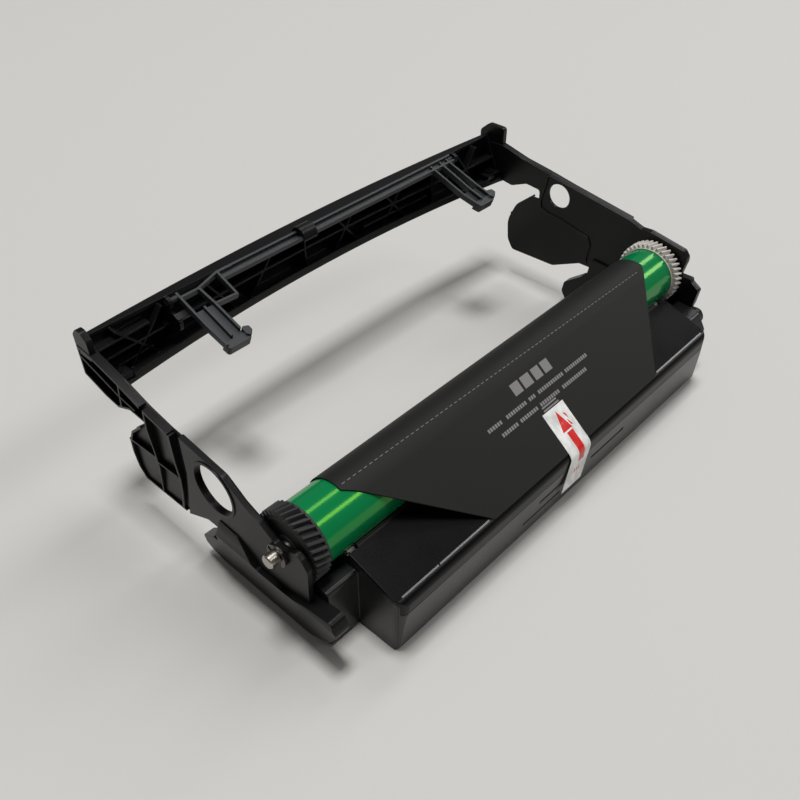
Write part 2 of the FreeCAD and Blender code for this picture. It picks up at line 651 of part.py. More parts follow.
def shoulder(side):
    """Block between one end of the box and its side plate."""
    start = -BOX_LEFT if side == LEFT else BOX_RIGHT
    rear = PLATE_SCREW_Y + 3.5
    if side == LEFT:
        front = [(SHOULDER_FRONT, 0.0, 2), (SHOULDER_FRONT, SHOULDER_TOP, 2), (SHOULDER_FRONT + 9.0, SHOULDER_TOP)]
    else:
        front = [(SHOULDER_FRONT - 15.0, 0.0, 2), (SHOULDER_FRONT - 16.0, BOX_SEAM, 2),
                 (SHOULDER_FRONT - 10.8, SHOULDER_TOP - 2.0, 3), (SHOULDER_FRONT - 4.8, SHOULDER_TOP - 0.5, 1),
                 (SHOULDER_FRONT + 4.0, SHOULDER_TOP)]
    top = shoulder_rear_top(side)
    block = slab(front + [(13.0, top), (rear, top), (rear, 0.0)], side, start - BOX_WALL, SHOE_IN)
    return block.cut(gear_room(side))


def end_wall(x_from):
    """End wall of the box, closed up to the cover and cut out round the drum."""
    top_front = BOX_FRONT + COVER_WALL
    low_off = -COVER_WALL
    points = [(BOX_FOOT, 0.0, BOX_FOOT_R), (BOX_FRONT, BOX_SEAM), (top_front, BOX_SEAM),
              (top_front, cover_line_at(top_front, low_off), COVER_CORNER_R - COVER_WALL),
              cover_spot(COVER_LENGTH, low_off), (0.0, AXIS_Z), (BOX_REAR - 8.0, BOX_REAR_TOP),
              (BOX_REAR, BOX_REAR_TOP), (BOX_REAR, 0.0, BOX_FOOT_R)]
    wall = across(points, x_from, x_from + BOX_WALL)
    return wall.cut(rod(DRUM_R + END_GAP, x_from - 1, x_from + BOX_WALL + 1))


def bracket_post(x):
    """Rib on the floor of the box that carries the blade bracket."""
    under = -(BLADE_COVER_GAP + BLADE_WALL + COVER_WALL + BRACKET_WALL)
    first = cover_spot(BRACKET_START + 4.0, under)
    last = cover_spot(BRACKET_END - 6.0, under)
    half = SCREW_HEAD_R + 0.6
    return across([(first[0], BOX_WALL / 2), first, last, (last[0], BOX_WALL / 2)], x - half, x + half)


def waste_box_body():
    """Tray under the drum: waste toner chamber in front, roller chamber behind."""
    floor = [(BOX_FRONT, BOX_SEAM), (BOX_FOOT, 0.0, BOX_FOOT_R), (BOX_REAR, 0.0, BOX_FOOT_R),
             (BOX_REAR, BOX_REAR_TOP), (BOX_REAR - BOX_WALL, BOX_REAR_TOP),
             (BOX_REAR - BOX_WALL, BOX_WALL, 1), (BOX_FOOT + BOX_WALL, BOX_WALL, 1),
             (BOX_FRONT + BOX_WALL, BOX_SEAM)]
    solid = across(floor, BOX_LEFT, BOX_RIGHT)
    partition = CARRIER_FRONT - FILM_WALL - CARRIER_GAP
    parts = [
        end_wall(BOX_LEFT),
        end_wall(BOX_RIGHT - BOX_WALL),
        box(BOX_LEFT + 1, BOX_RIGHT - 1, partition - BOX_WALL, partition + 3.0, CARRIER_BASE - BOX_WALL, CARRIER_BASE),
        box(BOX_LEFT + 1, BOX_RIGHT - 1, partition - BOX_WALL, partition, BOX_WALL / 2, CARRIER_BASE),
        box(BOX_LEFT + 1, BOX_RIGHT - 1, BOX_REAR - BOX_WALL - 4.0, BOX_REAR - 1, CARRIER_BASE - BOX_WALL, CARRIER_BASE),
        shoulder(LEFT),
        shoulder(RIGHT),
    ]
    parts += [bracket_post(x) for x in BLADE_SCREW_X]
    solid = fused(solid, parts)
    for hole in [plate_screw_place(side) for side in (LEFT, RIGHT)]:
        solid = solid.cut(Part.makeCylinder(SCREW_R, SCREW_LENGTH, hole, V(0, 0, -1)))
    for x in BLADE_SCREW_X:
        solid = solid.cut(blade_screw_shank(x))
    for x_from, x_to, z_from, z_to in FRONT_GROOVES:
        solid = solid.cut(box(x_from, x_to, BOX_FRONT - 1, BOX_FRONT + 1.6, z_from, z_to))
    return solid


FRONT_GROOVES = [(-25.6, -8.0, 15.8, 17.4), (-36.6, -8.7, 9.8, 11.2), (15.8, 43.7, 14.6, 16.2)]
BLADE_SCREW_X = [-84.0, 1.5, 87.0]


def waste_box_cover():
    """Sloping lid of the waste toner chamber with a rounded front edge."""
    inner_front = BOX_FRONT + COVER_WALL
    outer = cover_spot(COVER_LENGTH, 0)
    inner = cover_spot(COVER_LENGTH, -COVER_WALL)
    points = [(BOX_FRONT, BOX_SEAM), (BOX_FRONT, cover_line_at(BOX_FRONT, 0), COVER_CORNER_R),
              outer, inner,
              (inner_front, cover_line_at(inner_front, -COVER_WALL), COVER_CORNER_R - COVER_WALL),
              (inner_front, BOX_SEAM)]
    return across(points, BOX_LEFT, BOX_RIGHT)


# Blade

BLADE_TOP = -(COVER_WALL + BLADE_COVER_GAP)
BRACKET_TOP = BLADE_TOP - BLADE_WALL


def cleaning_blade():
    """Rubber strip whose edge wipes the drum."""
    turn = math.radians(COVER_SLOPE)
    axis_along = -COVER_Y * math.cos(turn) + (AXIS_Z - COVER_Z) * math.sin(turn)
    axis_off = COVER_Y * math.sin(turn) + (AXIS_Z - COVER_Z) * math.cos(turn)
    reach = math.sqrt((DRUM_R + BLADE_GAP) ** 2 - (axis_off - BLADE_TOP) ** 2)
    edge = axis_along - reach
    points = [cover_spot(BLADE_START, BLADE_TOP), cover_spot(edge, BLADE_TOP),
              cover_spot(edge, BRACKET_TOP), cover_spot(BLADE_START, BRACKET_TOP)]
    return across(points, blade_from(), blade_to())


def blade_from():
    """Left end of the blade, beside the left seal."""
    return BOX_LEFT + BOX_WALL + SEAL_WIDTH + SEAL_GAP


def blade_to():
    """Right end of the blade, beside the right seal."""
    return BOX_RIGHT - BOX_WALL - SEAL_WIDTH - SEAL_GAP


def cleaning_blade_bracket():
    """Bent steel strip that holds the blade."""
    low = BRACKET_TOP - BRACKET_WALL
    points = [cover_spot(BRACKET_START, BRACKET_TOP) + (1.5,), cover_spot(BRACKET_END, BRACKET_TOP),
              cover_spot(BRACKET_END, low), cover_spot(BRACKET_START + BRACKET_WALL, low) + (0.5,),
              cover_spot(BRACKET_START + BRACKET_WALL, low - BRACKET_LEG), cover_spot(BRACKET_START, low - BRACKET_LEG)]
    solid = across(points, blade_from(), blade_to())
    for x in BLADE_SCREW_X:
        solid = solid.cut(blade_screw_shank(x))
    return solid


def blade_screw_shank(x):
    """Threaded part of one blade screw."""
    y, z = cover_spot((BRACKET_START + BLADE_START) / 2, BRACKET_TOP)
    turn = math.radians(COVER_SLOPE)
    return Part.makeCylinder(SCREW_R, SCREW_LENGTH, V(x, y, z), V(0, math.sin(turn), -math.cos(turn)))


def blade_screws():
    """Screws that hold the bracket on the ribs of the box."""
    turn = math.radians(COVER_SLOPE)
    y, z = cover_spot((BRACKET_START + BLADE_START) / 2, BRACKET_TOP)
    solids = []
    for x in BLADE_SCREW_X:
        head = Part.makeCylinder(SCREW_HEAD_R, SCREW_HEAD, V(x, y, z), V(0, -math.sin(turn), math.cos(turn)))
        solids.append(head.fuse(blade_screw_shank(x)).removeSplitter())
    return Part.makeCompound(solids)


def end_seal(side):
    """Felt pad between one end of the box and the drum."""
    start = BOX_LEFT + BOX_WALL if side == LEFT else BOX_RIGHT - BOX_WALL - SEAL_WIDTH
    return arc_strip(DRUM_R + SEAL_GAP, DRUM_R + SEAL_GAP + SEAL_WALL, -172, -122, start, start + SEAL_WIDTH)


def toner_catch_film():
    """Thin film that closes the slit under the drum."""
    tip_y = CARRIER_FRONT + 2.0
    tip_z = AXIS_Z - math.sqrt((DRUM_R + SEAL_GAP) ** 2 - tip_y ** 2) - FILM_WALL
    face = CARRIER_FRONT - FILM_WALL / 2 - RUN_GAP
    path = [(face, CARRIER_FLOOR), (face, CARRIER_LIP + FILM_WALL), (tip_y, tip_z)]
    return across(band(path, FILM_WALL), blade_from(), blade_to())


# Drum

def facet(*spots):
    """Flat face through points in order."""
    return Part.Face(Part.makePolygon(list(spots) + [spots[0]]))


def gear(teeth, x_from, width, twist):
    """Helical gear blank with straight-sided teeth, each flank of two flat facets."""
    tip = GEAR_MODULE * (teeth + 2) / 2
    root = tip - TOOTH_HEIGHT * GEAR_MODULE
    pitch = 360.0 / teeth
    def ring(x, turn):
        spots = []
        for i in range(teeth):
            for radius, share in ((root, -ROOT_SHARE), (tip, -TIP_SHARE), (tip, TIP_SHARE), (root, ROOT_SHARE)):
                angle = math.radians((i + share) * pitch + turn)
                spots.append(V(x, radius * math.sin(angle), AXIS_Z + radius * math.cos(angle)))
        return spots
    near = ring(x_from, 0.0)
    far = ring(x_from + width, twist)
    faces = [facet(*near), facet(*far)]
    for i in range(len(near)):
        k = (i + 1) % len(near)
        faces.append(facet(near[i], near[k], far[k]))
        faces.append(facet(near[i], far[k], far[i]))
    solid = Part.Solid(Part.makeShell(faces))
    return solid if solid.Volume > 0 else solid.reversed()


def drum_tube():
    """Coated aluminium tube."""
    return tube(DRUM_R, TUBE_R, -DRUM_HALF, DRUM_HALF)


def hub(side, cap, rim, rim_r, width, teeth, twist):
    """Drum gear with its rim, the cap over the tube's end, its hub and the plug in the tube."""
    start = DRUM_HALF + rim
    face = start + width
    plug = DRUM_HALF - HUB_INSERT
    ring_r = GEAR_MODULE * ((teeth + 2) / 2 - TOOTH_HEIGHT) - GEAR_RING
    solid = gear(teeth, side * start, side * width, -side * twist)
    solid = solid.cut(tube(ring_r, HUB_R, *sorted((side * (start + GEAR_WEB), side * (face + 1)))))
    parts = [rod(rim_r, side * DRUM_HALF, side * start), rod(TUBE_R, side * plug, side * DRUM_HALF)]
    parts.append(rod(rim_r, side * (DRUM_HALF - cap), side * DRUM_HALF).cut(
        rod(DRUM_R, side * (DRUM_HALF - cap - 1), side * DRUM_HALF)))
    solid = fused(solid, parts)
    hollow = rod(TUBE_R - GEAR_RING, side * (plug - 1), side * DRUM_HALF)
    solid = solid.cut(hollow.cut(rod(HUB_R, side * (plug - 2), side * (DRUM_HALF + 1))))
    return solid.cut(rod(BORE_R, side * (plug - 1), side * (face + 1)))


def drum_drive_gear():
    """Black gear at the near end."""
    return hub(LEFT, DRIVE_CAP, DRIVE_RIM, DRIVE_RIM_R, DRIVE_WIDTH, DRIVE_TEETH, DRIVE_TWIST)


def drum_end_gear():
    """White gear at the far end."""
    return hub(RIGHT, END_CAP, END_RIM, END_RIM_R, END_WIDTH, END_TEETH, END_TWIST)


def drum_ground_contact():
    """Sprung metal disc that joins the tube to the shaft."""
    start = DRUM_HALF - HUB_INSERT - 1.0
    disc = tube(TUBE_R, BORE_R, start - 0.6, start)
    for angle in range(0, 360, 60):
        slot = box(start - 2, start + 2, -0.8, 0.8, HUB_R - 1.0, TUBE_R - 2.0)
        slot.rotate(V(0, 0, 0), V(1, 0, 0), angle)
        disc = disc.cut(slot.translate(V(0, 0, AXIS_Z)))
    return disc


# Shaft

def drum_shaft():
    """Steel shaft through both plates, with a groove for each retaining ring."""
    solid = rod(SHAFT_R, -SHAFT_HALF, SHAFT_HALF)
    ends = [edge for edge in solid.Edges if len(edge.Vertexes) == 1]
    solid = solid.makeChamfer(SHAFT_CHAMFER, ends)
    for side in (LEFT, RIGHT):
        low, high = sorted((side * (PLATE_OUT + RING_OFFSET), side * (PLATE_OUT + RING_OFFSET + RING_WALL)))
        solid = solid.cut(tube(SHAFT_R + 1, SHAFT_R - RING_GROOVE, low, high).common(
            box(low, high, -10, 10, AXIS_Z - 10, AXIS_Z + 10)))
    return solid


def retaining_ring(side):
    """Open ring in the groove of the shaft."""
    low, high = sorted((side * (PLATE_OUT + RING_OFFSET), side * (PLATE_OUT + RING_OFFSET + RING_WALL)))
    ring = rod(RING_R, low, high).cut(rod(SHAFT_R - RING_GROOVE, low - 1, high + 1))
    mouth = box(low - 1, high + 1, -RING_MOUTH, RING_MOUTH, AXIS_Z - 2 * RING_R, AXIS_Z - 1.2)
    ring = ring.cut(mouth)
    for angle in (60, -60):
        notch = rod(1.1, low - 1, high + 1, RING_R * 0.72 * math.sin(math.radians(angle)),
                    AXIS_Z + RING_R * 0.72 * math.cos(math.radians(angle)))
        ring = ring.cut(notch)
    return ring


# Charge roller

def charge_roller_core():
    """Steel core of the charge roller."""
    return rod(CORE_R, -CORE_HALF, CORE_HALF, ROLLER_Y, ROLLER_Z)


def charge_roller_sleeve():
    """Conductive rubber on the core."""
    return tube(ROLLER_R, CORE_R, -ROLLER_HALF, ROLLER_HALF, ROLLER_Y, ROLLER_Z)


def bearing_span(side):
    """Ends of one charge roller bearing along X."""
    return sorted((side * CORE_HALF, side * (CORE_HALF - BEARING_WIDTH)))


def charge_bearing(side):
    """Plastic bearing block of the charge roller."""
    low, high = bearing_span(side)
    points = [(ROLLER_Y - BEARING_HALF, ROLLER_Z - BEARING_DROP, 1), (ROLLER_Y + BEARING_HALF, ROLLER_Z - BEARING_DROP, 1),
              (ROLLER_Y + BEARING_HALF, ROLLER_Z + BEARING_HALF, 2), (ROLLER_Y - BEARING_HALF, ROLLER_Z + BEARING_HALF)]
    block = across(points, low, high)
    block = block.cut(rod(CORE_R + RUN_GAP, low - 1, high + 1, ROLLER_Y, ROLLER_Z))
    return block.cut(rod(DRUM_R + 2 * SEAL_GAP, low - 1, high + 1))


def charge_spring(side):
    """Bent leaf spring that presses one bearing towards the drum."""
    low, high = bearing_span(side)
    half = BEARING_HALF - 0.6
    rise = SPRING_HEIGHT - RUN_GAP
    def arch(lift, x):
        return Part.Arc(V(x, ROLLER_Y - half, CARRIER_FLOOR + lift), V(x, ROLLER_Y, CARRIER_FLOOR + rise + lift - SPRING_WALL),
                        V(x, ROLLER_Y + half, CARRIER_FLOOR + lift)).toShape()
    outer = arch(SPRING_WALL, low + 0.4)
    inner = arch(0.0, low + 0.4)
    sides = [Part.makeLine(V(low + 0.4, y, CARRIER_FLOOR), V(low + 0.4, y, CARRIER_FLOOR + SPRING_WALL))
             for y in (ROLLER_Y - half, ROLLER_Y + half)]
    face = Part.Face(Part.Wire(Part.__sortEdges__([outer, inner] + sides)))
    return face.extrude(V(BEARING_WIDTH - 0.8, 0, 0))


def roller_carrier():
    """Channel that holds the bearings of the charge roller."""
    x_from = BOX_LEFT + BOX_WALL + CARRIER_GAP
    x_to = BOX_RIGHT - BOX_WALL - CARRIER_GAP
    points = [(CARRIER_FRONT, CARRIER_BASE), (CARRIER_REAR, CARRIER_BASE), (CARRIER_REAR, CARRIER_REAR_TOP),
              (CARRIER_REAR - CARRIER_WALL, CARRIER_REAR_TOP), (CARRIER_REAR - CARRIER_WALL, CARRIER_FLOOR, 0.8),
              (CARRIER_FRONT + CARRIER_WALL, CARRIER_FLOOR, 0.8), (CARRIER_FRONT + CARRIER_WALL, CARRIER_LIP),
              (CARRIER_FRONT, CARRIER_LIP)]
    solid = across(points, x_from, x_to)
    guides = []
    for side in (LEFT, RIGHT):
        low, high = bearing_span(side)
        front = ROLLER_Y - BEARING_HALF - CARRIER_GAP
        back = ROLLER_Y + BEARING_HALF + CARRIER_GAP
        guides.append(box(low, high, front - CARRIER_WALL, front, CARRIER_FLOOR - 0.5, CARRIER_FLOOR + 6.0))
        guides.append(box(low, high, back, CARRIER_REAR - 0.5, CARRIER_FLOOR - 0.5, CARRIER_FLOOR + 6.0))
    return fused(solid, guides)


# Screws

def beam_screw_place(side):
    """Seat of the screw at one end of the beam."""
    return V(side * (PLATE_IN - BEAM_SCREW_INSET), BEAM_SCREW_Y, BEAM_BOTTOM + BEAM_WALL + TAB_WALL)


def plate_screw_place(side):
    """Seat of the screw that holds one plate to the box."""
    return V(side * (SHOE_IN - PLATE_SCREW_INSET), PLATE_SCREW_Y, shoulder_rear_top(side) + BOX_WALL)


def cross_screw(seat):
    """Screw with a round head and a cross recess, driven down at its seat."""
    head = Part.makeCylinder(SCREW_HEAD_R, SCREW_HEAD, seat)
    shank = Part.makeCylinder(SCREW_R, SCREW_LENGTH, seat, V(0, 0, -1))
    solid = head.fuse(shank).removeSplitter()
    for length, width in ((SCREW_HEAD_R, SCREW_SLOT), (SCREW_SLOT, SCREW_HEAD_R)):
        groove = Part.makeBox(length, width, SCREW_HEAD, seat + V(-length / 2, -width / 2, SCREW_HEAD / 2))
        solid = solid.cut(groove)
    return solid


def beam_screws():
    """Screws that hold the beam on the feet of the plates."""
    return Part.makeCompound([cross_screw(beam_screw_place(side)) for side in (LEFT, RIGHT)])


def plate_screws():
    """Screws that hold the plates on the box."""
    return Part.makeCompound([cross_screw(plate_screw_place(side)) for side in (LEFT, RIGHT)])


# Protective sheet and tape

def cover_corner():
    """Centre of the rounded front edge of the cover."""
    y = BOX_FRONT + COVER_CORNER_R
    return y, cover_line_at(y, -COVER_CORNER_R)


def sheet_slope():
    """Angle of the sheet where it runs straight from the cover's edge to the drum."""
    y, z = cover_corner()
    rise = SHEET_R - COVER_CORNER_R - SHEET_CORNER_GAP
    return math.atan2(AXIS_Z - z, -y) + math.asin(rise / math.hypot(y, AXIS_Z - z))


def off_circle(centre, radius):
    """Point where the straight part of the sheet touches a circle."""
    slope = sheet_slope()
    return centre[0] - radius * math.sin(slope), centre[1] + radius * math.cos(slope)


def yz_arc(centre, radius, start, end, x):
    """Arc in a plane across X, between two angles from the top towards the back."""
    def spot(angle):
        return V(x, centre[0] + radius * math.sin(angle), centre[1] + radius * math.cos(angle))
    return Part.Arc(spot(start), spot((start + end) / 2), spot(end)).toShape()


def protective_sheet():
    """Card that covers the drum and lies in front on the edge of the box."""
    axis = (0.0, AXIS_Z)
    edge = cover_corner()
    corner_r = COVER_CORNER_R + SHEET_CORNER_GAP
    slope = sheet_slope()
    wrap = math.radians(SHEET_WRAP)
    x = SHEET_LEFT
    spots = {}
    for name, extra in (("in", 0.0), ("out", SHEET_WALL)):
        spots[name] = [V(x, *off_circle(edge, corner_r + extra)), V(x, *off_circle(axis, SHEET_R + extra))]
    tip = [V(x, r * math.sin(wrap), AXIS_Z + r * math.cos(wrap)) for r in (SHEET_R, SHEET_R + SHEET_WALL)]
    edges = [
        Part.makeLine(spots["in"][0], spots["in"][1]),
        yz_arc(axis, SHEET_R, -slope, wrap, x),
        Part.makeLine(tip[0], tip[1]),
        yz_arc(axis, SHEET_R + SHEET_WALL, wrap, -slope, x),
        Part.makeLine(spots["out"][1], spots["out"][0]),
        Part.makeLine(spots["out"][0], spots["in"][0]),
    ]
    solid = Part.Face(Part.Wire(edges)).extrude(V(SHEET_RIGHT - SHEET_LEFT, 0, 0))
    front = BOX_FRONT - 5.0
    reach = cover_corner()[0] - corner_r * math.sin(slope)
    for start, end in ((SHEET_LEFT, FLAP_LEFT), (SHEET_RIGHT, FLAP_RIGHT)):
        lean = (end - start) / (reach - SHEET_TAPER_TOP)
        far = start + lean * (front - SHEET_TAPER_TOP)
        out = start - (end - start)
        waste = upright([(start, SHEET_TAPER_TOP), (far, front), (out, front), (out, SHEET_TAPER_TOP)],
                        0, AXIS_Z + 2 * DRUM_R)
        solid = solid.cut(waste)
    return solid


def tape_strip():
    """Tape from the sheet down to the front wall of the box."""
    edge = cover_corner()
    inner = COVER_CORNER_R + SHEET_CORNER_GAP + SHEET_WALL
    outer = inner + TAPE_WALL
    slope = sheet_slope()
    wide = 4 * TAPE_WIDTH
    x = TAPE_LEFT - wide / 2
    along = V(0, math.cos(slope), math.sin(slope)) * TAPE_LENGTH
    low = V(x, *off_circle(edge, inner))
    high = V(x, *off_circle(edge, outer))
    side = -math.pi / 2
    down = [V(x, edge[0] - r, edge[1]) for r in (inner, outer)]
    foot = [V(x, edge[0] - r, TAPE_END_Z) for r in (inner, outer)]
    edges = [
        Part.makeLine(low + along, low),
        yz_arc(edge, inner, -slope, side, x),
        Part.makeLine(down[0], foot[0]),
        Part.makeLine(foot[0], foot[1]),
        Part.makeLine(foot[1], down[1]),
        yz_arc(edge, outer, side, -slope, x),
        Part.makeLine(high, high + along),
        Part.makeLine(high + along, low + along),
    ]
    solid = Part.Face(Part.Wire(edges)).extrude(V(wide, 0, 0))
    fold = edge[1]
    rise = AXIS_Z + DRUM_R
    straight = [(TAPE_LEFT, rise), (TAPE_LEFT, fold), (TAPE_LEFT - TAPE_LEAN, TAPE_END_Z - 1),
                (TAPE_LEFT - TAPE_LEAN + TAPE_WIDTH, TAPE_END_Z - 1), (TAPE_LEFT + TAPE_WIDTH, fold),
                (TAPE_LEFT + TAPE_WIDTH, rise)]
    return solid.common(deep(straight, BOX_FRONT - 5, 0))


PIECES = {
    "left_side_plate": left_side_plate,
    "right_side_plate": right_side_plate,
    "rear_cross_beam": rear_cross_beam,
    "guide_lever": guide_lever,
    "waste_box_body": waste_box_body,
    "waste_box_cover": waste_box_cover,
    "cleaning_blade": cleaning_blade,
    "cleaning_blade_bracket": cleaning_blade_bracket,
    "blade_screws": blade_screws,
    "left_end_seal": lambda: end_seal(LEFT),
    "right_end_seal": lambda: end_seal(RIGHT),
    "toner_catch_film": toner_catch_film,
    "roller_carrier": roller_carrier,
    "drum_tube": drum_tube,
    "drum_drive_gear": drum_drive_gear,
    "drum_end_gear": drum_end_gear,
    "drum_ground_contact": drum_ground_contact,
    "drum_shaft": drum_shaft,
    "left_retaining_ring": lambda: retaining_ring(LEFT),
    "right_retaining_ring": lambda: retaining_ring(RIGHT),
    "charge_roller_core": charge_roller_core,
    "charge_roller_sleeve": charge_roller_sleeve,
    "left_charge_bearing": lambda: charge_bearing(LEFT),
    "right_charge_bearing": lambda: charge_bearing(RIGHT),
    "left_charge_spring": lambda: charge_spring(LEFT),
    "right_charge_spring": lambda: charge_spring(RIGHT),
    "beam_screws": beam_screws,
    "plate_screws": plate_screws,
    "protective_sheet": protective_sheet,
    "tape_strip": tape_strip,
}

os.makedirs("parts", exist_ok=True)
for name, make in PIECES.items():
    shape = make()
    solids = shape.Solids
    print(name, "solids", len(solids), "valid", shape.isValid(), "volume", round(shape.Volume, 1))
    if len(solids) == 1:
        shape = solids[0]
    shape.exportStep("parts/" + name + ".step")
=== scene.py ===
import enum
import json
import logging
import math
from dataclasses import dataclass, field
from typing import Any, Callable, Sequence, Union

import bmesh
import bpy
from mathutils import Matrix, Vector


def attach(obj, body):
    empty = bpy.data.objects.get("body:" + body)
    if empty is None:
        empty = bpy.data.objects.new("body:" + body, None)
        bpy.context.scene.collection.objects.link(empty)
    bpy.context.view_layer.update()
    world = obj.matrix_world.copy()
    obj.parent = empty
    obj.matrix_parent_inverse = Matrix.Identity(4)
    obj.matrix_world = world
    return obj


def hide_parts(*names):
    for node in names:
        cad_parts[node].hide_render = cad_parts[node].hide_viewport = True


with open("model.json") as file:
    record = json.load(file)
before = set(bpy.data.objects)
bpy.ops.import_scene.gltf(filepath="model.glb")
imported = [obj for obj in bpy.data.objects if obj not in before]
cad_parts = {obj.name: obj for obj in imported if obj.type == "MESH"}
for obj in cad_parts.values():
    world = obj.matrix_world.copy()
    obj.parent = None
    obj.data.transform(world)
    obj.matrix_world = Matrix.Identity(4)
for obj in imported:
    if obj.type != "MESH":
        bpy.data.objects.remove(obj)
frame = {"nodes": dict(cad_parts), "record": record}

LOG = logging.getLogger("drum_unit")
MM = 0.001
AXIS_Z = 46.0
WELD = 1e-6
FLAT_TURN = 0.6
BEVEL_TURN = 28.0
SHARP_TURN = 42.0
Colour = tuple[float, float, float]
Point = tuple[float, float, float]
Flat = tuple[float, float]
Corner = tuple[float, ...]


class Side(enum.IntEnum):
    """End of the unit, as the sign of its X."""

    NEAR = -1
    FAR = 1


# Node helpers

def operator(operation: str, turned: bool = False) -> Callable[["Expr", "Value"], "Expr"]:
    """Return the method that puts a value and another through one operation.

    Args:
        operation: The operation of the Math node.
        turned: Whether the other value comes first.

    Returns:
        The method.
    """
    def method(self: "Expr", other: "Value") -> "Expr":
        """Return the result of both values."""
        return self.math(operation, *((other, self) if turned else (self, other)))
    return method


class Expr:
    """A value in a node tree, on which Python's operators add Math nodes."""

    def __init__(self, sheet: "NodeSheet", socket: bpy.types.NodeSocket) -> None:
        """Keep the tree and the socket that carries the value.

        Args:
            sheet: The node tree in which Math nodes are added.
            socket: The output socket that this value comes from.
        """
        self.sheet = sheet
        self.socket = socket

    def math(self, operation: str, *values: "Value") -> "Expr":
        """Add one Math node.

        Args:
            operation: The operation of the Math node.
            values: The values of its inputs, in order.

        Returns:
            The node's result.
        """
        inputs = dict(enumerate(values))
        made = self.sheet.node("ShaderNodeMath", {"operation": operation}, inputs)
        return Expr(self.sheet, made.outputs[0])

    __add__ = operator("ADD")
    __radd__ = operator("ADD", turned=True)
    __sub__ = operator("SUBTRACT")
    __rsub__ = operator("SUBTRACT", turned=True)
    __mul__ = operator("MULTIPLY")
    __rmul__ = operator("MULTIPLY", turned=True)
    __gt__ = operator("GREATER_THAN")
    __lt__ = operator("LESS_THAN")
    smallest = operator("MINIMUM")
    largest = operator("MAXIMUM")

    def __abs__(self) -> "Expr":
        """Return the size of this value without its sign."""
        return self.math("ABSOLUTE", self)

    def wave(self) -> "Expr":
        """Return the sine of this value."""
        return self.math("SINE", self)

    def ramp(self, low: float, high: float) -> "Expr":
        """Return 0 under low and 1 over high, with a smooth step between.

        Args:
            low: The value at which the step starts.
            high: The value at which it ends.

        Returns:
            The stepped value.
        """
        settings = {"interpolation_type": "SMOOTHSTEP"}
        made = self.sheet.node("ShaderNodeMapRange", settings, {"Value": self, "From Min": low, "From Max": high})
        return Expr(self.sheet, made.outputs["Result"])


Value = Union[Expr, float, int]


class NodeSheet:
    """A node tree that is filled by one method."""

    def __init__(self, tree: bpy.types.NodeTree) -> None:
        """Take over a tree and empty it.

        Args:
            tree: The shader or geometry tree to fill.
        """
        self.tree = tree
        tree.nodes.clear()

    def node(self, kind: str, settings: dict[str, Any] | None = None,
             inputs: dict[Any, Any] | None = None) -> bpy.types.Node:
        """Add one node.

        Args:
            kind: The node's type name.
            settings: Its properties.
            inputs: Values or links of its sockets, by name or by index.

        Returns:
            The new node.
        """
        made = self.tree.nodes.new(kind)
        for name, value in (settings or {}).items():
            setattr(made, name, value)
        for name, value in (inputs or {}).items():
            socket = made.inputs[name]
            if isinstance(value, Expr):
                self.tree.links.new(value.socket, socket)
            elif isinstance(value, bpy.types.NodeSocket):
                self.tree.links.new(value, socket)
            else:
                socket.default_value = value
        return made

    def value(self, socket: bpy.types.NodeSocket) -> Expr:
        """Return a socket as a value for expressions.

        Args:
            socket: The output socket of a node.

        Returns:
            The value, on which operators work.
        """
        return Expr(self, socket)


class ShaderSheet(NodeSheet):
    """The shader tree of one material."""

    def place(self) -> bpy.types.NodeSocket:
        """Return the coordinates that stay with the piece."""
        return self.node("ShaderNodeTexCoord").outputs["Object"]

    def noise(self, scale: float, detail: float = 2.0, stretch: Point = (1.0, 1.0, 1.0)) -> Expr:
        """Add a noise over the piece.

        Args:
            scale: Waves per metre.
            detail: How many finer layers it has.
            stretch: How much denser it is along each axis.

        Returns:
            The noise, from 0 to 1.
        """
        start = self.place()
        if stretch != (1.0, 1.0, 1.0):
            start = self.node("ShaderNodeMapping", None, {"Vector": start, "Scale": stretch}).outputs[0]
        made = self.node("ShaderNodeTexNoise", None, {"Vector": start, "Scale": scale, "Detail": detail})
        return self.value(made.outputs["Fac"])

    def mix(self, share: Value, first: Any, second: Any) -> bpy.types.NodeSocket:
        """Mix two colours.

        Args:
            share: How much of the second colour shows.
            first: A colour or a colour socket.
            second: A colour or a colour socket.

        Returns:
            The mixed colour.
        """
        def full(colour: Any) -> Any:
            """Return a colour with its alpha, and a socket as it is."""
            return (*colour, 1.0) if isinstance(colour, tuple) else colour
        made = self.node("ShaderNodeMix", {"data_type": "RGBA"}, {0: share, 6: full(first), 7: full(second)})
        return made.outputs[2]

    def bump(self, height: Expr, depth: float) -> bpy.types.NodeSocket:
        """Turn a height into a normal.

        Args:
            height: The height, from 0 to 1.
            depth: What a height of 1 measures, in metres.

        Returns:
            The bumped normal.
        """
        return self.node("ShaderNodeBump", None, {"Height": height, "Distance": depth}).outputs[0]

    def finish(self, **sockets: Any) -> bpy.types.Node:
        """Add the surface shader and the output.

        Args:
            sockets: The shader's sockets, with _ for a space in their names.

        Returns:
            The surface shader.
        """
        inputs = {}
        for name, value in sockets.items():
            label = name.replace("_", " ")
            inputs[label] = (*value, 1.0) if isinstance(value, tuple) and len(value) == 3 else value
        made = self.node("ShaderNodeBsdfPrincipled", None, inputs)
        self.node("ShaderNodeOutputMaterial", None, {"Surface": made.outputs[0]})
        return made


# Finishes

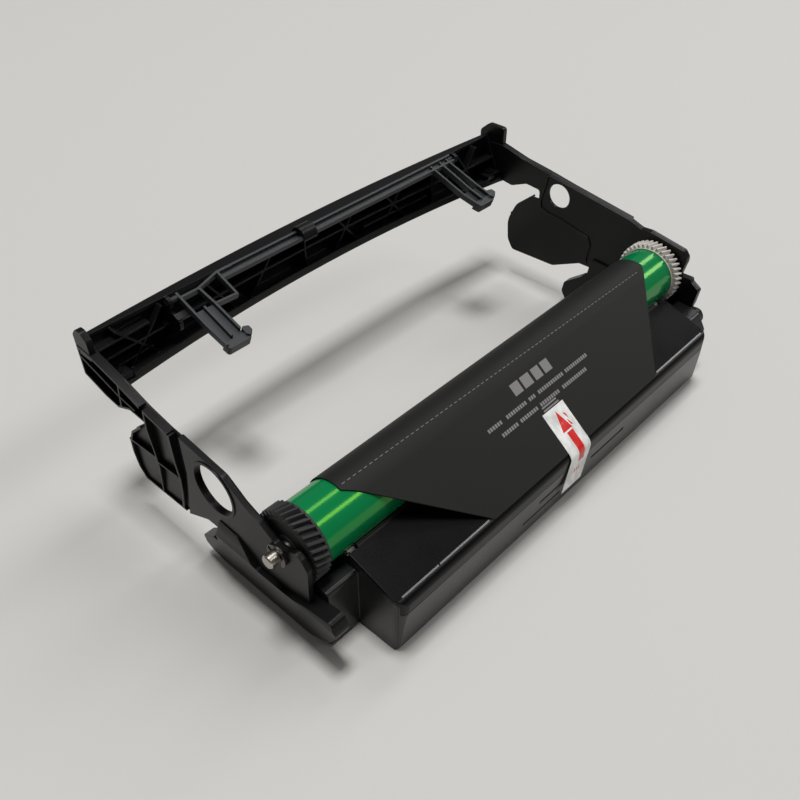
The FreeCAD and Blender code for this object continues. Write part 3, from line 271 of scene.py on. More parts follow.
@dataclass(frozen=True)
class Finish:
    """The look of one surface."""

    name: str
    slot: str
    colour: Colour

    def material(self) -> bpy.types.Material:
        """Return the finish's material, which is made once.

        Returns:
            The material, with its nodes.
        """
        found = bpy.data.materials.get(self.name)
        if found:
            return found
        made = bpy.data.materials.new(self.name)
        made.use_nodes = True
        made.diffuse_color = (*self.colour, 1.0)
        self.paint(ShaderSheet(made.node_tree))
        return made

    def paint(self, sheet: ShaderSheet) -> None:
        """Fill the shader tree.

        Args:
            sheet: The empty tree of the material.
        """
        sheet.finish(Base_Color=self.colour)


@dataclass(frozen=True)
class MouldedPlastic(Finish):
    """Injection moulded plastic with a fine spark-eroded grain.

    Its grain is in waves per metre, its grain depth in metres, and its mottle is
    the share by which the colour changes from patch to patch.
    """

    roughness: float = 0.42
    specular: float = 0.35
    grain: float = 2200.0
    grain_depth: float = 0.00002
    mottle: float = 0.22
    patch_scale: float = 38.0
    patch_rough: float = 0.12
    grain_rough: float = 0.1

    def paint(self, sheet: ShaderSheet) -> None:
        """Fill the tree with a grained, slightly uneven plastic.

        Args:
            sheet: The empty tree of the material.
        """
        patches = sheet.noise(self.patch_scale, 3.0)
        fine = sheet.noise(self.grain, 2.0)
        lighter = tuple(min(1.0, c * (1.0 + self.mottle)) for c in self.colour)
        darker = tuple(c * (1.0 - self.mottle) for c in self.colour)
        colour = sheet.mix(patches, darker, lighter)
        rough = (patches - 0.5) * self.patch_rough + (fine - 0.5) * self.grain_rough + self.roughness
        normal = sheet.bump(fine, self.grain_depth)
        sheet.finish(Base_Color=colour, Roughness=rough, Normal=normal, Specular_IOR_Level=self.specular)


@dataclass(frozen=True)
class PrintedTape(Finish):
    """Translucent white tape with a plain red arrow shape and short red bars.

    Places are in millimetres: X across the tape, and the rise up the sheet from
    its front edge. Each area holds its start, its end, its middle and its half width.
    """

    red: Colour = (0.66, 0.016, 0.012)
    # Grey of the film in the low parts of the crease noise: painted shade in the folds.
    under: Colour = (0.62, 0.62, 0.60)
    edge_y: float = -43.0
    edge_z: float = 32.2
    rise_y: float = 0.785
    rise_z: float = 0.619
    head_from: float = 8.6
    head_to: float = 19.0
    head_middle: float = 2.4
    head_spread: float = 0.33
    shaft_area: tuple[float, float, float, float] = (-6.5, 7.8, 3.0, 2.2)
    bar_area: tuple[float, float, float, float] = (9.4, 16.0, 6.3, 0.7)
    low_area: tuple[float, float, float, float] = (18.7, 21.3, 0.6, 2.4)
    bar_waves: Flat = (3.1, 1.3)
    bar_level: float = 0.1
    low_waves: float = 4.2
    crease_scale: float = 160.0
    crease_stretch: Point = (1.0, 0.55, 0.8)
    crease_painted_shade_span: Flat = (0.34, 0.62)
    crease_depth: float = 0.0004
    roughness: float = 0.22
    specular: float = 0.5

    @staticmethod
    def inside(area: tuple[float, float, float, float], along: Expr, across: Expr) -> Expr:
        """Return 1 inside an area.

        Args:
            area: Its start, end, middle and half width.
            along: The place between start and end.
            across: The place over the width.

        Returns:
            1 inside and 0 outside.
        """
        start, end, middle, half = area
        return (along > start).smallest(along < end) * (abs(across - middle) < half)

    def paint(self, sheet: ShaderSheet) -> None:
        """Fill the tree with the print, the film's creases, and painted sheen and painted shade along them.

        Args:
            sheet: The empty tree of the material.
        """
        apart = sheet.node("ShaderNodeSeparateXYZ", None, {0: sheet.place()}).outputs
        across, deep, high = (sheet.value(part) * (1.0 / MM) for part in apart)
        rise = (deep - self.edge_y) * self.rise_y + (high - self.edge_z) * self.rise_z
        head = (rise > self.head_from).smallest(rise < self.head_to)
        head = head * (abs(across - self.head_middle) < (self.head_to - rise) * self.head_spread)
        slanted = across * self.bar_waves[0] + rise * self.bar_waves[1]
        bars = (slanted.wave() > self.bar_level) * self.inside(self.bar_area, rise, across)
        low = ((across * self.low_waves).wave() > 0.0) * self.inside(self.low_area, high, across)
        shaft = self.inside(self.shaft_area, rise, across)
        crease = sheet.noise(self.crease_scale, 3.0, self.crease_stretch)
        # The film turns grey in the folds and white on the ridges of the crease noise: painted shade and painted
        # sheen.
        crease_painted_sheen_and_shade = sheet.mix(crease.ramp(*self.crease_painted_shade_span), self.under, self.colour)
        colour = sheet.mix(head.largest(bars).largest(shaft).largest(low), crease_painted_sheen_and_shade, self.red)
        normal = sheet.bump(crease, self.crease_depth)
        sheet.finish(Base_Color=colour, Roughness=self.roughness, Specular_IOR_Level=self.specular, Normal=normal)


@dataclass(frozen=True)
class GlossCoating(Finish):
    """Glossy translucent coating over the drum's metal tube."""

    roughness: float = 0.15
    streak_rough: float = 0.03
    tint: Colour = (0.34, 1.0, 0.06)

    def paint(self, sheet: ShaderSheet) -> None:
        """Fill the tree with a smooth tinted coating with faint streaks round the drum.

        Args:
            sheet: The empty tree of the material.
        """
        streaks = sheet.noise(500.0, 2.0, (1.0, 0.02, 0.02))
        rough = (streaks - 0.5) * self.streak_rough + self.roughness
        sheet.finish(Base_Color=self.colour, Roughness=rough, Specular_IOR_Level=1.0, Specular_Tint=self.tint)


@dataclass(frozen=True)
class TurnedSteel(Finish):
    """Steel with fine marks round the X axis."""

    roughness: float = 0.3
    mark_rough: float = 0.2
    mark_depth: float = 0.00001
    dark_share: float = 0.75

    def paint(self, sheet: ShaderSheet) -> None:
        """Fill the tree with turned metal.

        Args:
            sheet: The empty tree of the material.
        """
        marks = sheet.noise(900.0, 3.0, (3.0, 0.1, 0.1))
        rough = (marks - 0.5) * self.mark_rough + self.roughness
        darker = tuple(c * self.dark_share for c in self.colour)
        sheet.finish(Base_Color=sheet.mix(marks, darker, self.colour), Metallic=1.0, Roughness=rough,
                     Normal=sheet.bump(marks, self.mark_depth))


FINISHES = (
    MouldedPlastic("frame_black", "frame_plastic", (0.0052, 0.0052, 0.0054), 0.34, 0.23),
    MouldedPlastic("box_black", "box_plastic", (0.0060, 0.0060, 0.0062), 0.30, 0.5),
    MouldedPlastic("cover_black", "cover_plastic", (0.0030, 0.0030, 0.0032), 0.30, 0.16),
    MouldedPlastic("carrier_black", "carrier_plastic", (0.012, 0.012, 0.012), 0.5, 0.30),
    MouldedPlastic("lever_grey", "lever_plastic", (0.030, 0.033, 0.035), 0.42, 0.3),
    MouldedPlastic("gear_black", "gear_black", (0.0035, 0.0035, 0.0036), 0.34, 0.14),
    MouldedPlastic("gear_white", "gear_white", (0.62, 0.58, 0.54), 0.40, 0.45, mottle=0.05),
    MouldedPlastic("bearing_black", "bearing_plastic", (0.02, 0.02, 0.02)),
    MouldedPlastic("sheet_black", "sheet_card", (0.0125, 0.0122, 0.0116), 0.55, 0.18, 3500.0, 0.00001),
    PrintedTape("tape_printed", "tape_film", (0.90, 0.90, 0.88)),
    MouldedPlastic("blade_dark", "blade_rubber", (0.035, 0.034, 0.032), 0.5, 0.3),
    MouldedPlastic("roller_black", "roller_rubber", (0.02, 0.02, 0.02), 0.6, 0.3),
    MouldedPlastic("felt_white", "seal_felt", (0.6, 0.58, 0.52), 0.95, 0.1),
    MouldedPlastic("film_clear", "clear_film", (0.4, 0.4, 0.38), 0.2, 0.5),
    GlossCoating("drum_green", "drum_coating", (0.001, 0.190, 0.060)),
    TurnedSteel("shaft_bright", "shaft_steel", (0.60, 0.56, 0.50)),
    TurnedSteel("ring_dark", "ring_steel", (0.12, 0.11, 0.10)),
    TurnedSteel("spring_bright", "spring_steel", (0.5, 0.5, 0.5)),
    TurnedSteel("screw_dark", "screw_steel", (0.08, 0.08, 0.08)),
    TurnedSteel("zinc_bright", "zinc_steel", (0.55, 0.55, 0.54)),
    TurnedSteel("contact_bronze", "contact_bronze", (0.60, 0.38, 0.2)),
)
# The lip's finish is glossier than the cover and painted four times lighter: a painted highlight along the lip.
LIP_GLOSS_AND_PAINTED_HIGHLIGHT = MouldedPlastic(
    "cover_lip_gloss_and_painted_highlight", "cover_plastic", (0.012, 0.012, 0.012), 0.24, 0.7, grain_depth=0.0, mottle=0.05)
PALE_PRINT = MouldedPlastic("pale_print", "sheet_card", (0.22, 0.215, 0.21), 0.6, 0.2, mottle=0.1)


def slot_of(node: str) -> str:
    """Return the record's material slot of a node.

    Args:
        node: The node's name.

    Returns:
        The name of its slot.
    """
    return next(part["material_slot"] for part in frame["record"]["subparts"] if part["node"] == node)


def finish_for(slot: str) -> Finish:
    """Return the finish of one of the record's material slots.

    Args:
        slot: The slot's name.

    Returns:
        Its finish.
    """
    return next(finish for finish in FINISHES if finish.slot == slot)


# The stage

@dataclass(frozen=True)
class Lamp:
    """One soft rectangular lamp that faces the object."""

    name: str
    place: Point
    size: tuple[float, float]
    watts: float
    along: Point = (1.0, 0.0, 0.0)
    aim: Point = (0.0, 30.0, 30.0)

    def build(self) -> None:
        """Hang the lamp, with its long side along its own direction."""
        data = bpy.data.lights.new(self.name, "AREA")
        data.shape = "RECTANGLE"
        data.size = self.size[0]
        data.size_y = self.size[1]
        data.energy = self.watts
        lamp = bpy.data.objects.new(self.name, data)
        back = (Vector(self.place) - Vector(self.aim)).normalized()
        side = (Vector(self.along) - Vector(self.along).dot(back) * back).normalized()
        turn = Matrix((side, back.cross(side), back)).transposed().to_4x4()
        lamp.matrix_world = Matrix.Translation(Vector(self.place) * MM) @ turn
        bpy.context.scene.collection.objects.link(lamp)


LAMPS = (
    Lamp("ceiling_lamp", (0.0, 300.0, 4900.0), (1.2, 1.2), 160.0),
    Lamp("side_lamp", (4200.0, -2800.0, 4000.0), (5.2, 1.1), 96.0),
    Lamp("rear_lamp", (4000.0, 1000.0, 4000.0), (5.0, 1.0), 68.0),
)


@dataclass
class Stage:
    """Table, light and camera, with the camera as worked out from the photograph."""

    table_colour: Colour = (0.60, 0.59, 0.565)
    table_size: float = 12.0
    camera_place: Point = (-265.79, -181.77, 313.01)
    camera_heading: float = 46.97
    camera_pitch: float = 41.07
    focal_pixels: float = 884.12
    image_pixels: float = 800.0
    sensor: float = 36.0
    sky: float = 0.13

    def build(self) -> None:
        """Make the table, the lamps, the sky and the camera."""
        self.make_table()
        self.make_sky()
        for lamp in LAMPS:
            lamp.build()
        self.make_camera()
        bpy.context.scene.view_settings.view_transform = "Standard"

    def make_table(self) -> None:
        """Make the pale table top."""
        half = self.table_size / 2
        mesh = bpy.data.meshes.new("table_top")
        mesh.from_pydata([(-half, -half, 0), (half, -half, 0), (half, half, 0), (-half, half, 0)], [], [(0, 1, 2, 3)])
        top = linked("table_top", mesh)
        material = bpy.data.materials.new("table_paint")
        material.use_nodes = True
        sheet = ShaderSheet(material.node_tree)
        sheet.finish(Base_Color=self.table_colour, Roughness=0.7, Specular_IOR_Level=0.2)
        mesh.materials.append(material)

    def make_sky(self) -> None:
        """Make the even light that comes from all sides."""
        world = bpy.data.worlds.new("room_light")
        bpy.context.scene.world = world
        world.use_nodes = True
        sheet = NodeSheet(world.node_tree)
        light = sheet.node("ShaderNodeBackground", None, {"Color": (1.0, 0.99, 0.97, 1.0), "Strength": self.sky})
        sheet.node("ShaderNodeOutputWorld", None, {"Surface": light.outputs[0]})

    def make_camera(self) -> None:
        """Make the camera of the photograph's view."""
        data = bpy.data.cameras.new("view_camera")
        data.sensor_width = self.sensor
        data.lens = self.focal_pixels / self.image_pixels * self.sensor
        data.clip_start = 0.01
        data.clip_end = 20.0
        camera = bpy.data.objects.new("view_camera", data)
        camera.location = Vector(self.camera_place) * MM
        camera.rotation_euler = (math.radians(90.0 - self.camera_pitch), 0.0, math.radians(-self.camera_heading))
        bpy.context.scene.collection.objects.link(camera)
        bpy.context.scene.camera = camera


# Shaping helpers

def linked(name: str, mesh: bpy.types.Mesh) -> bpy.types.Object:
    """Put a mesh in the scene.

    Args:
        name: The new object's name.
        mesh: Its mesh.

    Returns:
        The object.
    """
    thing = bpy.data.objects.new(name, mesh)
    bpy.context.scene.collection.objects.link(thing)
    return thing


def plain_mesh(thing: bpy.types.Object) -> bpy.types.Mesh:
    """Turn what an object's modifiers make into a mesh of its own, and drop the object.

    Args:
        thing: The object with its modifiers.

    Returns:
        The finished mesh.
    """
    graph = bpy.context.evaluated_depsgraph_get()
    mesh = bpy.data.meshes.new_from_object(thing.evaluated_get(graph), depsgraph=graph)
    bpy.data.objects.remove(thing)
    return mesh


def built(points: Sequence[Point], faces: Sequence[Sequence[int]]) -> bpy.types.Mesh:
    """Make a mesh of points in millimetres.

    Args:
        points: Its corners, in millimetres.
        faces: The corners of each face.

    Returns:
        The mesh, in metres, with its faces turned outwards.
    """
    mesh = bpy.data.meshes.new("shape")
    mesh.from_pydata([tuple(c * MM for c in point) for point in points], [], faces)
    work = bmesh.new()
    work.from_mesh(mesh)
    bmesh.ops.remove_doubles(work, verts=work.verts, dist=WELD / 10)
    bmesh.ops.recalc_face_normals(work, faces=work.faces)
    work.to_mesh(mesh)
    work.free()
    return mesh


def prism(outline: Sequence[Flat], low: float, high: float,
          place: Callable[[float, float, float], Point]) -> bpy.types.Mesh:
    """Make a straight block over an outline.

    Args:
        outline: The outline's corners.
        low: Where the block starts.
        high: Where it ends.
        place: Gives the point for two outline values and a height.

    Returns:
        The closed mesh.
    """
    count = len(outline)
    points = [place(u, v, h) for h in (low, high) for u, v in outline]
    faces = [tuple(range(count)), tuple(range(count, 2 * count))]
    faces += [(i, (i + 1) % count, count + (i + 1) % count, count + i) for i in range(count)]
    return built(points, faces)


def revolve(profile: Sequence[Flat], segments: int = 144) -> bpy.types.Mesh:
    """Turn a closed outline of X and radius round the drum's axis.

    Args:
        profile: The outline's corners.
        segments: How many steps the turn has.

    Returns:
        The closed mesh.
    """
    count = len(profile)
    points = []
    faces = []
    for step in range(segments):
        turn = 2 * math.pi * step / segments
        points += [(x, r * math.sin(turn), AXIS_Z + r * math.cos(turn)) for x, r in profile]
        base = step * count
        after = (step + 1) % segments * count
        faces += [(base + i, base + (i + 1) % count, after + (i + 1) % count, after + i) for i in range(count)]
    return built(points, faces)


def soften(mesh: bpy.types.Mesh, edge: float) -> bpy.types.Mesh:
    """Round a mesh's sharp edges and smooth the rest.

    Args:
        mesh: The mesh to soften.
        edge: The width of the rounding in millimetres, or 0 for none.

    Returns:
        The softened mesh.
    """
    if edge:
        thing = linked("edges", mesh)
        rounding = thing.modifiers.new("edges", "BEVEL")
        rounding.width = edge * MM
        rounding.segments = 2
        rounding.limit_method = "ANGLE"
        rounding.angle_limit = math.radians(BEVEL_TURN)
        rounding.use_clamp_overlap = False
        rounding.miter_outer = "MITER_ARC"
        mesh = plain_mesh(thing)
    mesh.shade_smooth()
    mesh.set_sharp_from_angle(angle=math.radians(SHARP_TURN))
    return mesh


def put(name: str, mesh: bpy.types.Mesh, body: str, slot: str, nodes: Sequence[str] = (),
        finish: Finish | None = None) -> bpy.types.Object:
    """Add a finished mesh as a piece of the object.

    Args:
        name: The piece's name.
        mesh: Its mesh, in place.
        body: The body that it moves with.
        slot: The record's material slot.
        nodes: The frame's nodes that it stands for.
        finish: Its finish, or None for the slot's own.

    Returns:
        The piece.
    """
    piece = linked(name, mesh)
    mesh.materials.clear()
    mesh.materials.append((finish or finish_for(slot)).material())
    normals = piece.modifiers.new("normals", "WEIGHTED_NORMAL")
    normals.keep_sharp = True
    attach(piece, body)
    if nodes:
        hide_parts(*nodes)
    LOG.info("piece %s rides on %s", name, body)
    return piece


def node_copy(node: str) -> bpy.types.Mesh:
    """Return a merged copy of a node's mesh.

    Args:
        node: The node's name.

    Returns:
        The copy, with its flat faces joined.
    """
    mesh = frame["nodes"][node].data.copy()
    work = bmesh.new()
    work.from_mesh(mesh)
    bmesh.ops.remove_doubles(work, verts=work.verts, dist=WELD)
    bmesh.ops.dissolve_limit(work, angle_limit=math.radians(FLAT_TURN), verts=work.verts, edges=work.edges)
    work.to_mesh(mesh)
    work.free()
    return mesh


def cut(mesh: bpy.types.Mesh, cutters: Sequence[bpy.types.Mesh]) -> bpy.types.Mesh:
    """Take blocks away from a mesh.

    Args:
        mesh: The mesh to cut.
        cutters: The closed blocks.

    Returns:
        The cut mesh.
    """
    for cutter in cutters:
        thing = linked("blank", mesh)
        tool = linked("cutter", cutter)
        action = thing.modifiers.new("cut", "BOOLEAN")
        action.operation = "DIFFERENCE"
        action.solver = "EXACT"
        action.object = tool
        mesh = plain_mesh(thing)
        bpy.data.objects.remove(tool)
    return mesh


class RepeatTree:
    """Copies of one small shape, in a row or round the X axis."""

    INPUTS = (("Shape", "NodeSocketGeometry"), ("Count", "NodeSocketInt"), ("Start", "NodeSocketVector"),
              ("Step", "NodeSocketVector"), ("Turn", "NodeSocketFloat"), ("Finish", "NodeSocketMaterial"))

    def __init__(self) -> None:
        """Make the tree and its named inputs."""
        self.tree = bpy.data.node_groups.new("repeat_shape", "GeometryNodeTree")
        face = self.tree.interface
        self.places = {name: face.new_socket(name=name, in_out="INPUT", socket_type=kind).identifier
                       for name, kind in self.INPUTS}
        face.new_socket(name="Copies", in_out="OUTPUT", socket_type="NodeSocketGeometry")
        self._fill()

    def _fill(self) -> None:
        """Add the nodes that place, turn and join the copies."""
        sheet = NodeSheet(self.tree)
        given = sheet.node("NodeGroupInput").outputs
        row = sheet.node("GeometryNodeMeshLine", {"mode": "OFFSET"}, {
            "Count": given["Count"], "Start Location": given["Start"], "Offset": given["Step"]})
        turn = sheet.value(sheet.node("GeometryNodeInputIndex").outputs[0]) * sheet.value(given["Turn"])
        facing = sheet.node("ShaderNodeCombineXYZ", None, {"X": turn})
        copies = sheet.node("GeometryNodeInstanceOnPoints", None, {
            "Points": row.outputs[0], "Instance": given["Shape"], "Rotation": facing.outputs[0]})
        whole = sheet.node("GeometryNodeRealizeInstances", None, {0: copies.outputs[0]})
        dressed = sheet.node("GeometryNodeSetMaterial", None, {
            "Geometry": whole.outputs[0], "Material": given["Finish"]})
        sheet.node("NodeGroupOutput", None, {0: dressed.outputs[0]})

    def run(self, shape: bpy.types.Mesh, finish: Finish, count: int, start: Point,
            step: Point = (0.0, 0.0, 0.0), turn: float = 0.0) -> bpy.types.Mesh:
        """Repeat a shape.

        Args:
            shape: The mesh of one copy, about the origin.
            finish: The copies' finish.
            count: How many copies there are.
            start: The first copy's place, in millimetres.
            step: The way from one copy to the next, in millimetres.
            turn: The turn from one copy to the next, in radians.

        Returns:
            One plain mesh of all the copies.
        """
        thing = linked("repeat", shape)
        action = thing.modifiers.new("repeat", "NODES")
        action.node_group = self.tree
        values = {"Count": count, "Start": [c * MM for c in start], "Step": [c * MM for c in step], "Turn": turn}
        for name, value in values.items():
            action[self.places[name]] = value
        action[self.places["Finish"]] = finish.material()
        return plain_mesh(thing)


def join(name: str, meshes: Sequence[bpy.types.Mesh]) -> bpy.types.Mesh:
    """Join meshes into one.

    Args:
        name: The joined mesh's name.
        meshes: The meshes to join.

    Returns:
        One mesh.
    """
    work = bmesh.new()
    for mesh in meshes:
        work.from_mesh(mesh)
    whole = bpy.data.meshes.new(name)
    work.to_mesh(whole)
    work.free()
    return whole


# Sub-assemblies

@dataclass
class Mouldings:
    """Moulded and turned pieces that keep the frame's shape and get real edges."""

    half_length: float = 137.0
    flange_front: float = 110.2
    flange_wall: float = 1.8
    flange_bow: float = 8.4
    flange_top: float = 68.0
    flange_growth: float = 1.9
    edges: dict[str, float] = field(default_factory=lambda: {
        "rear_cross_beam": 0.25, "roller_carrier": 0.25,
        "drum_shaft": 0.12, "charge_roller_core": 0.15, "cleaning_blade_bracket": 0.15, "cleaning_blade": 0.1,
        "drum_tube": 0.0, "charge_roller_sleeve": 0.2, "protective_sheet": 0.0, "tape_strip": 0.0,
        "guide_lever": 0.2})
    bodies: dict[str, str] = field(default_factory=lambda: {
        "drum_tube": "drum", "charge_roller_core": "charge_roller", "charge_roller_sleeve": "charge_roller",
        "guide_lever": "lever"})

    def widen_flange(self, mesh: bpy.types.Mesh) -> None:
        """Bring the beam's lower front edge forward towards its ends.

        Args:
            mesh: The beam's mesh.
        """
        for vert in mesh.vertices:
            x, y, z = (c / MM for c in vert.co)
            share = min(1.0, abs(x) / self.half_length) ** 2
            line = self.flange_front + self.flange_bow * (1.0 - share)
            if z < self.flange_top and y < line + self.flange_wall:
                vert.co.y -= self.flange_growth * share * MM

    def build(self) -> None:
        """Replace each listed node by its softened copy."""
        for node, edge in self.edges.items():
            mesh = node_copy(node)
            if node == "rear_cross_beam":
                self.widen_flange(mesh)
            mesh = soften(mesh, edge)
            put(node + "_finished", mesh, self.bodies.get(node, "frame"), slot_of(node), (node,))


def rounded(corners: Sequence[Corner], steps: int = 5) -> list[Flat]:
    """Round an outline's corners.

    Args:
        corners: The corners, each with its radius as an optional third value.
        steps: How many steps each rounded corner has.

    Returns:
        The rounded outline.
    """
    outline = []
    for i, corner in enumerate(corners):
        here = Vector(corner[:2])
        if len(corner) < 3:
            outline.append(tuple(here))
            continue
        back = Vector(corners[i - 1][:2]) - here
        onward = Vector(corners[(i + 1) % len(corners)][:2]) - here
        half = back.angle(onward) / 2
        reach = min(corner[2] / math.tan(half), 0.48 * back.length, 0.48 * onward.length)
        start = here + back.normalized() * reach
        end = here + onward.normalized() * reach
        for part in range(steps + 1):
            t = part / steps
            outline.append(tuple((1 - t) ** 2 * start + 2 * t * (1 - t) * here + t ** 2 * end))
    return outline


def strip(path: Sequence[Flat], width: float) -> list[Flat]:
    """Return the outline of a strip of constant width along an open path.

    Args:
        path: The strip's middle line.
        width: Its width.

    Returns:
        The outline's corners.
    """
    near, far = [], []
    points = [Vector(point) for point in path]
    for i, here in enumerate(points):
        ways = [(points[j + 1] - points[j]).normalized() for j in (i - 1, i) if 0 <= j < len(points) - 1]
        mean = sum(ways, Vector((0.0, 0.0))) / len(ways)
        side = Vector((-mean.y, mean.x)) * width / 2 / mean.length_squared
        near.append(tuple(here + side))
        far.append(tuple(here - side))
    return near + far[::-1]


@dataclass
class SidePlate:
    """Side plate of the frame: web, ribs, lug, window and the runner it stands on.

    Outlines and paths hold Y and Z from the drum's axis, and depths hold the
    distance from the unit's middle.
    """

    node: str
    side: Side
    top: tuple[Corner, ...]
    lug: tuple[Corner, ...]
    front_ribs: tuple[tuple[Flat, ...], ...]
    window: tuple[float, float, float]
    rim: float
    tab_z: float
    plate_in: float = 136.2
    plate_out: float = 139.0
    recess_out: float = 137.2
    rib_out: float = 140.6
    lug_out: float = 140.3
    rib_taper: float = 2.4
    taper_top: float = 24.0
    taper_height: float = 52.0
    rib_wall: float = 1.2
    front_rib_wall: float = 1.6
    rim_height: float = 0.5
    pad_in: float = 135.2
    ridge_wall: float = 0.9
    ridge_height: float = 0.7
    shoe_in: float = 133.6
    ridge_out: float = 141.6
    foot_out: float = 136.2
    ridge_z: float = 27.0
    shoulder_z: float = 37.4
    tab_in: float = 125.0
    tab_sink: float = 0.5
    tab_y: Flat = (21.5, 28.5)
    tab_height: float = 2.0
    beam_tab: tuple[float, float, float, float] = (110.8, 119.8, 17.0, 20.5)
    lap: float = 0.01
    margin: float = 1.0
    rim_steps: int = 96
    pad_top: Flat = (75.2, 30.0)
    pad_foot: Flat = (34.0, -17.4)
    ridge_top: Flat = (75.6, 29.6)
    recess_y: float = 58.0
    edge: float = 0.25
    rear: tuple[Corner, ...] = (
        (125.6, 36.0), (125.0, 20.2, 3), (110.5, 15.4, 3), (101.5, 14.2, 4), (91.0, 18.9, 4), (81.2, 18.2, 2),
        (81.0, 12.6, 1.5), (86.5, 12.6, 3), (96.9, 3.4, 14), (102.2, -9.0, 16), (100.9, -22.0, 8), (96.8, -28.0, 3),
        (66.0, -26.8, 6))
    heel: tuple[Corner, ...] = ((47.8, -17.6, 2), (40.0, -17.4, 2), (34.0, -22.0))
    recess: tuple[Corner, ...] = ((58.0, 24.0), (57.4, 4.0), (60.0, -12.0), (62.6, -25.0))
    step: tuple[Corner, ...] = (
        (76.3, 23.8), (78.8, 13.0, 2), (78.0, 8.7, 2), (72.7, 6.9), (64.0, 6.2), (53.2, 4.0), (43.8, 1.8, 2),
        (41.8, -2.2, 2), (43.0, -11.3), (42.4, -14.7, 2))
    ribs: tuple[tuple[Flat, ...], ...] = (
        ((79.6, 25.0), (81.0, 14.2), (80.2, 2.0), (80.0, -8.0), (83.4, -27.0)),
        ((80.2, -5.2), (65.6, -4.0)),
        ((101.0, -4.4), (80.2, -2.6)),
        ((124.5, 30.8), (110.5, 26.9), (98.3, 23.4), (86.5, 21.5)),
        ((95.9, 30.2), (98.6, 15.8)),
        ((124.4, 34.5), (124.2, 20.8), (110.3, 16.2), (101.5, 14.9), (91.0, 19.7), (81.0, 19.0)),
        ((86.3, 12.0), (96.0, 2.8), (100.4, -5.6), (101.2, -13.0), (100.0, -21.8), (96.4, -27.2), (66.2, -26.2)))
    shoe_top: tuple[Corner, ...] = (
        (-29.5, -15.6, 3), (-15.8, -17.3, 2), (-3.8, -20.0, 4), (14.6, -20.8, 3), (26.7, -10.8, 3), (38.6, -9.9, 2),
        (40.6, -24.0, 1), (44.0, -24.3, 2), (54.6, -32.4, 3))
    shoe_foot: tuple[Corner, ...] = (
        (55.6, -39.0, 3), (52.5, -43.6, 3), (45.5, -46.0, 5), (-10.0, -46.0, 10), (-24.5, -35.5, 8), (-32.5, -21.5, 4))

    def slab(self, corners: Sequence[Corner], inner: float, outer: float) -> bpy.types.Mesh:
        """Return a flat layer of the plate.

        Args:
            corners: Its outline, from the drum's axis.
            inner: Its inner distance from the unit's middle.
            outer: Its outer distance.

        Returns:
            The layer.
        """
        return prism(rounded(corners), inner, outer, lambda u, v, h: (self.side * h, u, AXIS_Z + v))

    def rib(self, path: Sequence[Flat], width: float) -> bpy.types.Mesh:
        """Return a rib whose depth tapers towards the table.

        Args:
            path: The rib's middle line, from the drum's axis.
            width: Its width.

        Returns:
            The rib.
        """
        def place(u: float, v: float, h: float) -> Point:
            """Return the rib's point at Y and Z from the axis, inside at height 0 and outside at 1."""
            share = min(1.0, max(0.0, (self.taper_top - v) / self.taper_height))
            outer = self.rib_out - self.rib_taper * share
            return (self.side * (self.recess_out - 10 * self.lap if h == 0.0 else outer), u, AXIS_Z + v)
        return prism(strip(path, width), 0.0, 1.0, place)

    def cylinder(self, y: float, z: float, radius: float, inner: float, outer: float) -> bpy.types.Mesh:
        """Return a disc across the plate.

        Args:
            y: Its middle's Y from the drum's axis.
            z: Its middle's Z from the drum's axis.
            radius: Its radius.
            inner: Its inner distance from the unit's middle.
            outer: Its outer distance.

        Returns:
            The disc.
        """
        turns = (2 * math.pi * i / self.rim_steps for i in range(self.rim_steps))
        rim = [(y + radius * math.sin(a), z + radius * math.cos(a)) for a in turns]
        return prism(rim, inner, outer, lambda u, v, h: (self.side * h, u, AXIS_Z + v))

    def shoe(self) -> bpy.types.Mesh:
        """Return the runner that the plate stands on.

        Returns:
            The runner, whose outer face stands out to a ridge and leans in below it.
        """
        mesh = self.slab(self.shoe_top + self.shoe_foot, self.shoe_in, self.plate_out)
        work = bmesh.new()
        work.from_mesh(mesh)
        for height in (self.ridge_z, self.shoulder_z):
            parts = work.verts[:] + work.edges[:] + work.faces[:]
            bmesh.ops.bisect_plane(work, geom=parts, plane_co=(0, 0, height * MM), plane_no=(0, 0, 1))
        middle = (self.shoe_in + self.plate_out) / 2 * MM
        for vert in work.verts:
            if abs(vert.co.x) < middle:
                continue
            z = vert.co.z / MM
            if z < self.ridge_z:
                out = self.foot_out + (self.ridge_out - self.foot_out) * z / self.ridge_z
            else:
                share = min(1.0, (z - self.ridge_z) / (self.shoulder_z - self.ridge_z))
                out = self.ridge_out + (self.plate_out + 10 * self.lap - self.ridge_out) * share
            vert.co.x = self.side * out * MM
        work.to_mesh(mesh)
        work.free()
        return mesh

